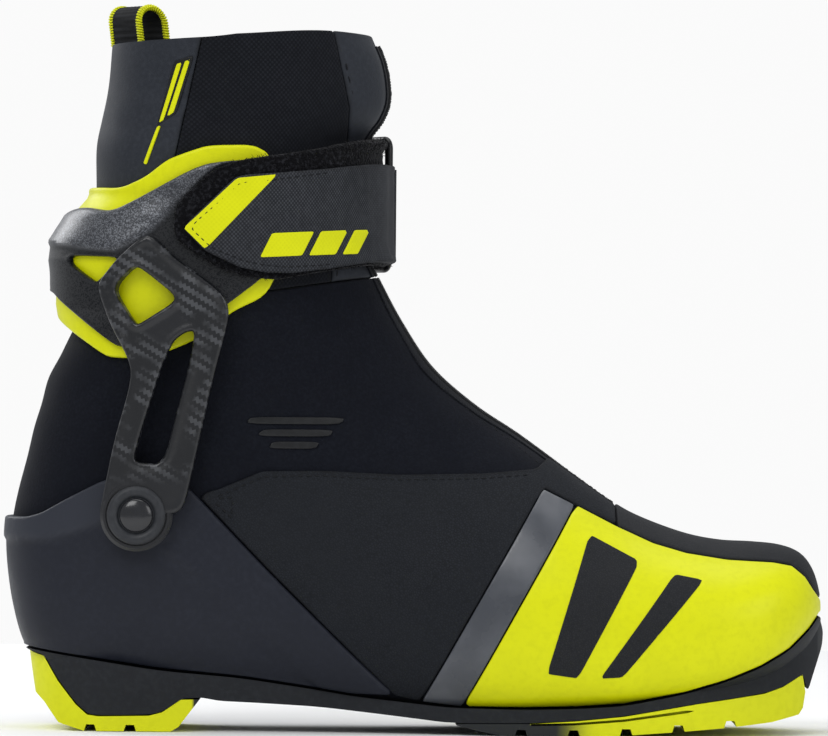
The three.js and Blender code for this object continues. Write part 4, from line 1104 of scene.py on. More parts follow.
    def _twill(self, s: Shader) -> tuple[Socket, Socket]:
        """Carbon tows laid over two and under two, stepping one each row.

        Args:
            s: the material's shader.

        Returns:
            The height and the pattern.
        """
        x, _, z = s.split()
        pitch = self.size * MM
        u = s.calc("DIVIDE", s.calc("ADD", x, s.calc("MULTIPLY", z, 0.25)), pitch)
        v = s.calc("DIVIDE", s.calc("SUBTRACT", z, s.calc("MULTIPLY", x, 0.25)), pitch)
        rows = s.calc("ADD", s.calc("FLOOR", u), s.calc("FLOOR", v))
        over = s.calc("LESS_THAN", s.calc("FLOORED_MODULO", rows, 4.0), 2.0)
        inner = s.calc("MULTIPLY_ADD", s.calc("SINE", s.calc("MULTIPLY", u, math.tau)), 0.3, over)
        light = s.calc("MULTIPLY", over, s.ramp(s.noise(9, 2), 0.42, 0.6))
        return inner, light


class Palette:
    """The boot's finishes."""

    LIME = (0.68, 0.705, 0.0)
    SOFTSHELL = Finish("softshell_cloth", (0.0042, 0.0050, 0.0085), (0.0085, 0.0100, 0.0150), 0.85,
                       Grain.SOFTSHELL, 0.7, 0.10, sheen=0.03, shine=0.1)
    STRETCH = Finish("stretch_cloth", (0.0055, 0.0062, 0.0085), (0.015, 0.0165, 0.021), 0.85,
                     Grain.CLOTH, 0.9, 0.10, sheen=0.04, shine=0.1)
    COATED = Finish("coated_collar_cloth", (0.017, 0.020, 0.027), (0.027, 0.031, 0.040), 0.62,
                    Grain.SOFTSHELL, 1.0, 0.05, sheen=0.02, edge_tone=-0.4, shine=0.2)
    SYNTHETIC = Finish("grained_synthetic", (0.0115, 0.0135, 0.0180), (0.0050, 0.0060, 0.0080), 0.62,
                       Grain.LEATHER, 0.9, 0.10, edge_tone=-0.5, shine=0.15)
    CAP = Finish("toe_cap_synthetic", (0.020, 0.021, 0.024), (0.010, 0.011, 0.013), 0.64,
                 Grain.LEATHER, 0.8, 0.08, shine=0.15)
    COUNTER = Finish("counter_plastic", (0.0120, 0.0140, 0.0215), (0.0155, 0.0180, 0.0270), 0.44,
                     Grain.MOULDED, 0.5, 0.02, zone=(0.0255, 0.0285, 0.0385), shine=0.18)
    LIME_MOULDED = Finish("lime_plastic", LIME, (0.63, 0.655, 0.0), 0.42, Grain.MOULDED, 0.6, 0.015,
                          coat=0.05, shine=0.2)
    LIME_PRINT = Finish("lime_print", LIME, (0.63, 0.655, 0.0), 0.5, Grain.CLOTH, 0.9, 0.04, shine=0.2)
    METALLIC = Finish("flecked_plastic", (0.026, 0.028, 0.034), (0.20, 0.21, 0.23), 0.36, Grain.FLECK,
                      0.36, 0.01, metal=0.8, coat=0.2, zone=(0.008, 0.009, 0.011))
    CARBON = Finish("carbon_arm", (0.0055, 0.0062, 0.0080), (0.060, 0.063, 0.070), 0.33, Grain.TWILL,
                    1.3, 0.03, coat=0.35, zone=(0.0065, 0.0072, 0.0095))
    PRINT = Finish("glossy_stripe", (0.050, 0.055, 0.066), (0.085, 0.091, 0.105), 0.27, Grain.FILM, 2.5,
                   0.02, coat=0.4)
    RUBBER = Finish("sole_rubber", (0.0125, 0.0140, 0.0170), (0.020, 0.0225, 0.026), 0.68, Grain.RUBBER,
                    0.5, 0.03, shine=0.2)
    TREAD = Finish("tread_rubber", LIME, (0.63, 0.655, 0.0), 0.55, Grain.RUBBER, 0.7, 0.02,
                   zone=(0.014, 0.016, 0.018))
    PILE = Finish("strap_pile", (0.0025, 0.0025, 0.0035), (0.026, 0.027, 0.032), 0.95, Grain.PILE, 0.9,
                  0.5, sheen=0.08, shine=0.1)
    WEBBING = Finish("strap_webbing", (0.0110, 0.0125, 0.0160), (0.060, 0.064, 0.073), 0.7, Grain.CLOTH,
                     0.75, 0.12, edge_tone=-0.4, shine=0.2)
    LOOP = Finish("loop_webbing", (0.0045, 0.0050, 0.0060), (0.022, 0.023, 0.026), 0.8, Grain.CLOTH,
                  1.2, 0.2, shine=0.15)
    OVERLOCK = Finish("overlock_thread", LIME, (0.55, 0.59, 0.0), 0.6, Grain.CLOTH, 0.6, 0.12)
    STEEL = Finish("bright_steel", (0.55, 0.56, 0.58), (0.40, 0.41, 0.43), 0.28, Grain.METAL, 0.6,
                   0.01, metal=1.0)
    BLACK = Finish("black_plastic", (0.0035, 0.0040, 0.0050), (0.008, 0.009, 0.010), 0.38,
                   Grain.MOULDED, 0.6, 0.01, coat=0.1)
    GREY_RING = Finish("matt_grey_plastic", (0.020, 0.022, 0.026), (0.030, 0.032, 0.037), 0.45,
                       Grain.MOULDED, 0.4, 0.01)
    GLOSS_CAP = Finish("gloss_black_plastic", (0.006, 0.0065, 0.009), (0.011, 0.012, 0.015), 0.16,
                       Grain.MOULDED, 1.0, 0.004, coat=0.6)
    LINING = Finish("brushed_lining", (0.020, 0.022, 0.027), (0.036, 0.039, 0.045), 0.92,
                    Grain.SOFTSHELL, 1.2, 0.18, sheen=0.1, shine=0.1)
    THREAD = Finish("sewing_thread", (0.0045, 0.0050, 0.0065), (0.018, 0.020, 0.023), 0.7, Grain.CLOTH,
                    0.4, 0.05, shine=0.2)
    COIL = Finish("zip_coil", (0.0045, 0.0050, 0.0060), (0.012, 0.013, 0.015), 0.4, Grain.MOULDED, 0.5,
                  0.01)


def dress(obj: Piece, finish: Finish, body: str, slot: str, *nodes: str) -> Piece:
    """Gives a piece its finish and its body, and hides the CAD nodes that it stands for.

    Args:
        obj: the piece.
        finish: its material.
        body: the body that it rides on, or "" to bake its placement into its mesh and leave it on no body.
        slot: not used.
        nodes: the CAD nodes that it stands for.

    Returns:
        The same piece.
    """
    obj.data.materials.clear()
    obj.data.materials.append(finish.material())
    if nodes:
        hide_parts(*nodes)
    if body:
        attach(obj, body)
    else:
        Waist.bend(obj)
    LOG.info("%s: %s on %s", obj.name, finish.name, body or "two bodies")
    return obj


def refinish(node: str, finish: Finish) -> None:
    """Gives a CAD node that stays in view its finish."""
    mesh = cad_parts[node].data
    mesh.materials.clear()
    mesh.materials.append(finish.material())
    LOG.info("%s: %s, the CAD's own shape", node, finish.name)


PIVOT = np.array([-100.4, 78.0])
SURFACE = BootSurface()


def plan_loop(count: int = 260) -> Rows:
    """The tread's footprint as a smooth closed outline seen from above."""
    return catmull(np.vstack([FOOTPRINT, FOOTPRINT[:1]]), count)[:-1]


def prism(name: str, points: Rows, low: float, high: float, upright: bool = False
          ) -> Piece:
    """An outline carried straight: across the boot, or upwards if it is a plan.

    Args:
        name: the object's name.
        points: the closed outline in drawn millimetres.
        low: where it begins along Y, or along Z if upright.
        high: where it ends.
        upright: whether the outline is a plan, seen from above.

    Returns:
        The new object, in metres.
    """
    n = len(points)
    rows = []
    for level in (low, high):
        for u, v in points:
            rows.append((u, v, level) if upright else (u, level, v))
    faces = [(i, (i + 1) % n, (i + 1) % n + n, i + n) for i in range(n)]
    faces += [tuple(range(n)), tuple(range(n, 2 * n))[::-1]]
    obj = MeshKit.build(name, SURFACE.place(np.array(rows)), faces, 30)
    with MeshKit.edit(obj.data) as work:
        bmesh.ops.recalc_face_normals(work, faces=work.faces)
        bmesh.ops.triangulate(work, faces=[f for f in work.faces if len(f.verts) > 4])
    return obj


def boot_core(name: str, start: float, distance: float) -> Piece:
    """Everything inside one offset of the surface, from a station to the toe.

    Args:
        name: the object's name.
        start: its first station.
        distance: how far out from the surface it reaches.

    Returns:
        The closed solid, in metres.
    """
    rows, columns = 150, 144
    at = start + (2.998 - start) * np.linspace(0, 1, rows) ** 0.9
    degrees = np.linspace(-180, 180, columns, endpoint=False)
    grid = np.stack(np.meshgrid(at, degrees, indexing="ij"), -1).reshape(-1, 2)
    points = SURFACE.place(SURFACE.lifted(grid, distance))
    faces = []
    for i in range(rows - 1):
        for j in range(columns):
            k = (j + 1) % columns
            faces.append((i * columns + j, (i + 1) * columns + j, (i + 1) * columns + k, i * columns + k))
    faces.append(tuple(range(columns)))
    faces.append(tuple((rows - 1) * columns + j for j in range(columns))[::-1])
    obj = MeshKit.build(name, points, faces)
    with MeshKit.edit(obj.data) as work:
        bmesh.ops.triangulate(work, faces=[f for f in work.faces if len(f.verts) > 4])
        bmesh.ops.recalc_face_normals(work, faces=work.faces)
    return obj


class Side(Enum):
    """The two sides of the boot."""

    LATERAL = -1
    MEDIAL = 1

    @property
    def word(self) -> str:
        """The side's name in the nodes."""
        return self.name.lower()

    @property
    def span(self) -> tuple[float, float]:
        """The angles that this side's overlays may cover."""
        return (-162, 0) if self is Side.LATERAL else (0, 162)


class Seamstress:
    """Sews rows of stitches on finished pieces."""

    @staticmethod
    def row(
        name: str, cloth: Piece, line: Rows, side: Side, pitch: float,
        stitch: float, radius: float,
    ) -> Piece | None:
        """Lays stitches along a side line, on whatever the line meets first from its side.

        Args:
            name: the row's name.
            cloth: the piece that is sewn.
            line: the line in drawn millimetres, as rows of (x, z).
            side: from which side the line is seen.
            pitch: from one stitch to the next.
            stitch: a stitch's length.
            radius: the thread's radius.

        Returns:
            One object with all the stitches, or None if the line misses the cloth.
        """
        tree = BVHTree.FromObject(cloth, bpy.context.evaluated_depsgraph_get())
        run = run_along(line)
        parts = []
        for start in np.arange(pitch / 2, run[-1] - stitch, pitch):
            knots = []
            for share in (0.0, 0.2, 0.5, 0.8, 1.0):
                s = start + share * stitch
                x, z = np.interp(s, run, line[:, 0]), np.interp(s, run, line[:, 1])
                drawn = SURFACE.place(np.array([[x, side.value * 90.0, z]]))[0]
                hit, normal, _, _ = tree.ray_cast(Vector(drawn), Vector((0, -side.value, 0)))
                if hit is None:
                    break
                if normal.y * side.value < 0:
                    normal = -normal
                dip = 0.75 * radius * abs(2 * share - 1) ** 2 - 0.25 * radius
                knots.append(np.array(hit - normal * dip * MM))
            if len(knots) == 5:
                fat = np.array([0.45, 0.9, 1.0, 0.9, 0.45]) * radius * MM
                parts.append(MeshKit.tube("stitch", np.array(knots), fat, 6))
        return MeshKit.merge(name, parts) if parts else None

    @staticmethod
    def sew(
        name: str, cloth: Piece, line: Rows, side: Side, gauge: tuple[float, ...],
        body: str, slot: str,
    ) -> Piece | None:
        """Lays a row of thread and dresses it, if the line meets the cloth.

        Args:
            name: the row's name.
            cloth: the piece that is sewn.
            line: the line in drawn millimetres, as rows of (x, z).
            side: from which side the line is seen.
            gauge: the pitch, the stitch's length and the thread's radius.
            body: the body that the thread rides on, or "" for none, as at the ankle.
            slot: a material slot name, handed on to dress.

        Returns:
            The row of stitches, or None.
        """
        row = Seamstress.row(name, cloth, line, side, *gauge)
        if row:
            dress(row, Palette.THREAD, body, slot)
        return row


@dataclass
class Sole:
    """The ribbed sole: a wrapped chassis, a heel tread, a forefoot tread and the toe bar."""

    wrap: float = 2.0
    groove_width: float = 6.0
    groove_spacing: float = 24.0
    groove_depth: float = 2.2
    lug_pitch: float = 18.8
    lug_width: float = 4.4
    lug_depth: float = 2.3
    lug_flare: float = 0.7
    bar: tuple[float, float] = (133.0, 11.2)
    recess: tuple[float, float] = (5.0, 13.5)

    def build(self) -> None:
        """Makes the sole's pieces and finishes the toe bar."""
        self._chassis()
        self._heel()
        self._forefoot()
        refinish("toe_bar", Palette.STEEL)

    def _chassis(self) -> None:
        """The rubber rand that wraps the upper's edge."""
        edge = closed(RAND_TOP, BUMPER, FORE_SEAM, WAIST, HEEL_SEAM)
        chassis = boot_core("sole_rand", 1.2, GAP + self.wrap)
        MeshKit.combine(chassis, prism("footprint", plan_loop(), 0, 44.5, True), "UNION")
        MeshKit.combine(chassis, prism("edge", rounded(edge, 2, 0.15), -90, 90), "INTERSECT")
        MeshKit.combine(chassis, boot_core("inside", 1.1, GAP), "DIFFERENCE")
        dress(chassis, Palette.RUBBER, "boot", "sole_rubber", "sole_chassis")

    def _lug(self, x: float, z: float) -> Piece:
        """The tool that cuts one groove between lugs."""
        half, flare, top = self.lug_width / 2, self.lug_flare, z + self.lug_depth
        shape = [(x - half - flare, z - 2), (x + half + flare, z - 2), (x + half - flare, top),
                 (x - half + flare, top)]
        return prism("lug", np.array(shape), -80, 80)

    def _tread(self, name: str, edge: Rows, underside: Rows, lugs: list) -> Piece:
        """A tread block cut by its outline, the ridge grooves and the lug grooves.

        Args:
            name: the piece's name.
            edge: its closed side outline.
            underside: the line that it stands on.
            lugs: the middle of each lug groove.

        Returns:
            The block.
        """
        tread = prism(name, edge, -80, 80)
        MeshKit.combine(tread, prism("footprint", plan_loop(), -1, 44.5, True), "INTERSECT")
        band = closed(moved(underside, 0, -1), moved(underside, 0, self.groove_depth)[::-1])
        for s in (-1, 1):
            middle = s * self.groove_spacing / 2
            half = self.groove_width / 2
            MeshKit.combine(tread, prism("ridge", band, middle - half, middle + half), "DIFFERENCE")
        for x, z in lugs:
            MeshKit.combine(tread, self._lug(x, z), "DIFFERENCE")
        MeshKit.combine(tread, boot_core("inside", 1.1, GAP), "DIFFERENCE")
        return tread

    def _heel(self) -> None:
        """The lime heel tread."""
        under = outline("-128.7,2.7 -119.5,0 -112,0 -98,0 -88,0 -85.2,1.6")
        edge = closed(
            outline("-140.3,27.9 -137.5,13.2 -134,9.8"), under, (-77.6, 11.6),
            moved(HEEL_SEAM, -GAP, -1.5 * GAP)[1:-1],
        )
        places = [(under[0][0] + (under[5][0] - under[0][0]) * share, 0.0) for share in (0.27, 0.6)]
        tread = self._tread("heel_tread_block", edge, under[1:], places)
        self._zone(tread, lambda p: smooth(-80.5, -79.5, p[:, 0]))
        dress(tread, Palette.TREAD, "boot", "lime_plastic", "heel_tread")

    def _forefoot(self) -> None:
        """The forefoot tread: lime, with a dark middle behind the ball, painted shade under the slot's rear
        half, and the binding's recess.
        """
        under = outline(
            "15,3.4 22,1.6 30.6,0 60,0 74.5,0.5 92.1,1.7 111.6,3.2 128.5,5 138.7,7.4"
        )
        edge = closed(under, outline("140.3,9.8 141.2,15.4"), moved(FORE_SEAM, -GAP / 2, -GAP)[:-1],
                      (14.5, 3.9))
        fine = catmull(under, 200)
        places = []
        for i in range(5):
            x = 38 + i * self.lug_pitch
            if x < self.bar[0] - self.lug_pitch / 2:
                places.append((x, fine[np.searchsorted(fine[:, 0], x)][1]))
        tread = self._tread("forefoot_tread_block", edge, under, places)
        ahead, half = self.recess
        x, z = self.bar
        box = np.array([(x - ahead, -1), (x + ahead, -1), (x + ahead, z + 3), (x - ahead, z + 3)])
        MeshKit.combine(tread, prism("recess", box, -half, half), "DIFFERENCE")
        round_seat = [(x + 2.3 * math.cos(a), z + 2.3 * math.sin(a)) for a in np.arange(0, math.tau, 0.3)]
        MeshKit.combine(tread, prism("seat", np.array(round_seat), -17.3, 17.3), "DIFFERENCE")
        slot = outline("41.5,4.4 57,4.9 75,6.4 97,9.6 100,9.5 98,8.7 75,5.5 57,4 41.5,3.6")
        for y in (-80.0, 80.0):
            inner = y - math.copysign(80 - 38.0, y)
            cutter = prism("slot", slot, min(y, inner), max(y, inner))
            MeshKit.combine(tread, cutter, "DIFFERENCE")

        def dark(p: Rows) -> Rows:
            """Dark rubber behind the ball, and painted shade under the slot's rear half that fades out
            forward.
            """
            line = 4.0 + np.maximum(p[:, 0] - 42, 0) * 0.05
            behind = smooth(42, 41, p[:, 0])
            # painted shade: the tread below the slot line is darkened up to x 50 and fades out by x 66
            low = smooth(line + 0.1, line - 0.1, p[:, 2]) * smooth(66, 50, p[:, 0])
            return np.maximum(behind, low)

        self._zone(tread, dark)
        dress(tread, Palette.TREAD, "boot", "sole_rubber", "forefoot_tread")

    @staticmethod
    def _zone(obj: Piece, rule: Callable[[Rows], Rows]) -> None:
        """Cuts a tread finely and stores how dark it is at each corner.

        Args:
            obj: the tread.
            rule: gives how dark each drawn point is.
        """
        cuts = (-80.5, -79.5, 41.0, 42.0, 50.0, 54.0, 58.0, 62.0, 66.0)
        upright = [((x, 0, 0), (1, 0, 0)) for x in cuts]
        level = [((42.0, 0, z), (-0.05, 0, 1)) for z in (4.1, 3.9)]
        with MeshKit.edit(obj.data) as work:
            for place, normal in upright + level:
                geometry = work.verts[:] + work.edges[:] + work.faces[:]
                at = SURFACE.place(np.array([place]))[0]
                bmesh.ops.bisect_plane(work, geom=geometry, plane_co=at, plane_no=normal, dist=1e-6)
        MeshKit.shade(obj.data, 30)
        MeshKit.note(obj, "zone", rule(MeshKit.drawn(obj)))


@dataclass
class LowerBoot:
    """The soft upper with its counter, side panels, stripes, toe wrap and toe cap."""

    softshell: float = 2.0
    overlay: float = 1.3
    counter: float = 2.3
    print_depth: float = 0.25

    def build(self) -> None:
        """Makes every piece that lies on the boot below the cuff."""
        rand_seam = moved(RAND_TOP, 0, 2 * GAP)
        self._upper()
        self._inside()
        self._counter(rand_seam)
        self._toe(rand_seam)
        self._graphics()

    def _upper(self) -> None:
        """The softshell from the toe to the cuff, one cloth with the ankle's gusset."""

        def relief(drawn: Rows, depth: Rows) -> Rows:
            """The zip's cover, lapped over the front, and shallow folds at the ankle."""
            d, along = line_distance(drawn[:, [0, 2]], ZIP_COVER)
            ends = smooth(0.0, 0.06, along) * smooth(1.0, 0.94, along)
            lap = smooth(-0.9, 0.3, d) * smooth(16, 6, d) * ends * 0.75
            crease = -0.35 * np.exp(-((d + 0.9) / 0.7) ** 2) * ends
            fold = 0.5 * np.sin(drawn[:, 0] * 0.16 + drawn[:, 2] * 0.24 + 2.2 * np.sin(drawn[:, 2] * 0.045))
            ankle = np.exp(-((drawn[:, 2] - 118) / 30) ** 2) * smooth(-20, -70, drawn[:, 0])
            bend = np.exp(-((drawn[:, 0] - 2) / 20) ** 2) * smooth(96, 108, drawn[:, 2])
            return lap + crease + fold * (0.45 * ankle + 0.30 * bend)

        region = Region(below(moved(CUFF_EDGE, 0, -0.5)), corner=0.1)
        upper = Panel(region, -self.softshell, self.softshell, (1.0, 3.0), edge=0.5, relief=relief)
        cloth = upper.make("softshell_upper")
        dress(cloth, Palette.SOFTSHELL, "", "softshell", "upper_softshell", "ankle_gusset")
        for side in Side:
            line = moved(catmull(ZIP_COVER, 120), -1.2, -2.2)
            Seamstress.sew(f"zip_cover_seam_{side.word}", cloth, line, side, (2.6, 1.7, 0.22), "",
                           "softshell")

    def _inside(self) -> None:
        """The lining, the padded tongue and the footbed, seen through the collar."""
        region = Region(below(LOWER_EDGE), corner=0.05)
        lining = Panel(region, -4.5, 2.2, (1.1, 3.0), spacing=3.2, edge=0.4).make("foot_lining")
        dress(lining, Palette.LINING, "boot", "foam", "foot_liner")
        tongue = Cushion("tongue_pad", (1.30, 1.86), (-34.0, 34.0), -8.6, 3.6).make()
        dress(tongue, Palette.LINING, "boot", "foam", "tongue")
        bed = Panel(Region(EVERYWHERE), -10.6, 3.5, (1.52, 2.7), (144, 216), 2.4, edge=0.8)
        dress(bed.make("footbed_cloth"), Palette.LINING, "boot", "foam", "footbed")
        refinish("insole_board", Palette.LINING)
        for side in Side:
            refinish(f"inner_eyestay_{side.word}", Palette.SYNTHETIC)

    def _counter(self, rand_seam: Rows) -> None:
        """The moulded heel counter, with its facets, and the boss under each arm.

        Args:
            rand_seam: the line where the rand begins.
        """
        edge = closed(COUNTER_EDGE, rand_seam[rand_seam[:, 0] < COUNTER_EDGE[-1][0]][::-1], (-152, 31))
        upper_crease = outline("-150,69.5 -131,69.8 -112,76 -92,70")
        long_crease = outline("-92,66 -88,64.5 -55,35 -28,13.5")

        def relief(drawn: Rows, depth: Rows) -> Rows:
            """A raised upper band and a facet that runs down to the waist."""
            d = beside(drawn, upper_crease)
            e = beside(drawn, long_crease)
            ahead = smooth(-95, -85, drawn[:, 0])
            band = 0.9 * smooth(-1.8, 0.2, d) * (1 - ahead)
            facet = 1.0 * smooth(-2.2, 0.2, e) * ahead
            return band + facet - 0.6

        panel = Panel(Region(edge, corner=0.12), GAP, self.counter, (1.1, 2.2), (54, 306), 1.6,
                      edge=0.9, relief=relief)
        shell = panel.make("counter_shell")
        drawn = MeshKit.drawn(shell)
        d = beside(drawn, upper_crease)
        MeshKit.note(shell, "zone", smooth(-1.6, 0.4, d) * smooth(-88, -96, drawn[:, 0]))
        dress(shell, Palette.COUNTER, "boot", "counter_plastic", "heel_counter")
        for side in Side:
            profile = [(0, 37.0), (11.5, 37.0), (11.5, 40.5), (11.1, 40.9), (0, 40.9)]
            boss = MeshKit.lathe(f"pivot_boss_{side.word}", profile, side.value)
            MeshKit.note(boss, "zone", np.zeros(len(boss.data.vertices)))
            dress(boss, Palette.COUNTER, "boot", "counter_plastic")

    def _toe(self, rand_seam: Rows) -> None:
        """The side panels, the stripes, the lime wrap over the toe and the cap on top of it.

        Args:
            rand_seam: the line where the rand begins.
        """
        panel_edge = closed(
            outline("-77,84.8 -76,86.1 -71,87.5 -55.7,94 -34.5,94.4 -6.2,93.2 23.3,93.9 43,95.7 "
                    "51.4,103 71.9,88 71.9,76.1"),
            moved(np.array([STRIPE_FRONT[0], STRIPE_REAR[0]]), 0, 2 * GAP),
            moved(STRIPE_REAR, -2 * GAP, 0)[1:],
            moved(COUNTER_EDGE[6:], 2 * GAP, 0)[::-1],
        )
        stripe_edge = closed(STRIPE_REAR[0], STRIPE_FRONT[0], STRIPE_FRONT[1], STRIPE_REAR[1])
        start = STRIPE_FRONT[1][0] + 2 * GAP
        lime_edge = closed(
            moved(STRIPE_FRONT[::-1], 2 * GAP, 0), LIME_TOP, (152, 48.5), (152, 44.6),
            rand_seam[rand_seam[:, 0] > start][::-1],
        )
        cap_edge = closed(moved(LIME_TOP, 0, 2 * GAP), (152, 49), (152, 90), (LIME_TOP[0][0], 90))
        top_line = outline("-73,84.6 -70,85.4 -55.2,92 -34.5,92.5 -6.2,91.3 23.5,92 42.5,93.6")
        rear_tick = outline("-73.4,83.4 -66.5,77.2 -66.2,84.5 -72.5,84")

        def sunk(drawn: Rows, depth: Rows) -> Rows:
            """The cloth dips a little along its seam."""
            d = beside(drawn, top_line)
            return -0.28 * np.exp(-((d / 0.9) ** 2))

        for side in Side:
            spans = (1.2, 2.46), side.span
            panel = Panel(Region(panel_edge, lane=7.3, corner=0.06), GAP, self.overlay, *spans,
                          edge=0.55, relief=sunk)
            side_panel = panel.make(f"side_wrap_{side.word}")
            dress(side_panel, Palette.SYNTHETIC, "boot", "synthetic", f"side_panel_{side.word}")
            for k, line in enumerate((top_line, rear_tick)):
                Seamstress.sew(f"side_seam_{side.word}_{k}", side_panel, line, side, (3.0, 2.1, 0.32),
                               "boot", "synthetic")
            stripe = Panel(Region(stripe_edge, lane=7.3, corner=0.02), GAP, self.overlay, *spans,
                           1.4, 0.4).make(f"stripe_film_{side.word}")
            dress(stripe, Palette.PRINT, "boot", "gloss_print", f"stripe_{side.word}")
        wrap = Panel(Region(lime_edge, corner=0.04), GAP, self.overlay, (1.86, 3.0), edge=0.6)
        dress(wrap.make("toe_wrap"), Palette.LIME_MOULDED, "boot", "lime_plastic", "toe_overlay")
        cap = Panel(Region(cap_edge, corner=0.04), GAP, self.overlay, (2.1, 2.96), (-112, 112), edge=0.6)
        dress(cap.make("toe_cap_cover"), Palette.CAP, "boot", "coated_fabric", "toe_cap")

    def _graphics(self) -> None:
        """Plain printed bars on the toe wrap, and plain raised bars at the ankle."""
        bars = {
            "toe_bar_print_wide": outline("62,72.5 80,63 58,21 47,22.5"),
            "toe_bar_print_slim": outline("92.5,58.5 103,56.5 74,21.5 66,21"),
        }
        for side in Side:
            for name, edge in bars.items():
                inner = GAP + self.overlay
                printed = Panel(Region(edge, corner=0.05), inner, self.print_depth, (1.9, 2.95),
                                side.span, 1.5, 0.12)
                dress(printed.make(f"{name}_{side.word}"), Palette.CAP, "boot", "coated_fabric")
            for k, (x, width) in enumerate(((-60, 34), (-56, 26), (-52, 17))):
                z = 113.5 - 4.4 * k
                edge = closed((x, z), (x + width, z), (x + width - 1.6, z - 2.6), (x - 1.6, z - 2.6))
                bar = Panel(Region(edge, corner=0.15), -0.05, 0.75, (1.3, 2.05),
                            side.span, 1.2, 0.3).make(f"ankle_rib_{side.word}_{k}")
                dress(bar, Palette.BLACK, "", "softshell")


class Waist:
    """Cloth at the ankle, between the boot and the cuff, that rides on neither body."""

    START = (-0.06, 0.0, 0.100)
    END = (-0.06, 0.0, 0.152)

    @classmethod
    def bend(cls, obj: Piece) -> None:
        """Bakes a piece's placement into its mesh, without a body."""
        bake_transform(obj)


@dataclass
class Cushion:
    """A padded patch of the surface, swollen by a short cloth simulation.

    Attributes:
        name: the piece's name.
        stations: its first and last station.
        degrees: its first and last angle.
        inner: its inner face, out from the surface.
        thickness: how thick it is before it swells.
        cap: how far a point may move, in millimetres.
    """

    name: str
    stations: tuple[float, float]
    degrees: tuple[float, float]
    inner: float
    thickness: float
    cap: float = 0.7

    def make(self) -> Piece:
        """Builds, swells and smooths the cushion."""
        panel = Panel(Region(EVERYWHERE), self.inner, self.thickness, self.stations, self.degrees, 2.6, 1.4)
        obj = panel.make(self.name)
        self._swell(obj)
        return obj

    def _swell(self, obj: Piece) -> None:
        """Runs the cloth simulation and keeps its result within the cap.

        Args:
            obj: the pad.
        """
        remesh = obj.modifiers.new("even", "REMESH")
        remesh.mode, remesh.voxel_size = "VOXEL", 1.7 * MM
        graph = bpy.context.evaluated_depsgraph_get()
        even = bpy.data.meshes.new_from_object(obj.evaluated_get(graph))
        obj.modifiers.clear()
        obj.data = even
        before = np.array([v.co for v in even.vertices])
        cloth = obj.modifiers.new("cloth", "CLOTH")
        cloth.settings.use_pressure = True
        cloth.settings.uniform_pressure_force = 4.0
        cloth.settings.effector_weights.gravity = 0.0
        scene = bpy.context.scene
        for number in range(1, 13):
            scene.frame_set(number)
        graph = bpy.context.evaluated_depsgraph_get()
        evaluated = obj.evaluated_get(graph).to_mesh()
        after = np.array([v.co for v in evaluated.vertices])
        obj.evaluated_get(graph).to_mesh_clear()
        obj.modifiers.clear()
        scene.frame_set(1)
        step = after - before
        length = np.linalg.norm(step, axis=1, keepdims=True)
        step *= np.minimum(1, self.cap * MM / np.maximum(length, 1e-9))
        even.vertices.foreach_set("co", (before + step).ravel())
        even.polygons.foreach_set("use_smooth", np.ones(len(even.polygons), bool))
        even.update()


BULGE_HEIGHTS = np.array([136, 143, 150, 157, 167, 176, 186, 193.0])
BULGE_SIZES = np.array([0, 2, 6.5, 9, 11.5, 11.5, 6.5, 0])


def cuff_bulge(params: Rows) -> Rows:
    """How far the cuff stands off behind the heel tendon, fading out to the sides."""
    height = SURFACE.points(params)[:, 2]
    backness = np.maximum(0, -np.cos(np.radians(params[:, 1]))) ** 1.6
    return np.interp(height, BULGE_HEIGHTS, BULGE_SIZES) * backness


def strap_lift(params: Rows) -> Rows:
    """The strap's extra distance: out over the cuff, closer over the bare front."""
    over = smooth(18, 54, np.abs(params[:, 1]))
    return cuff_bulge(params) - 1.0 * (1 - over)


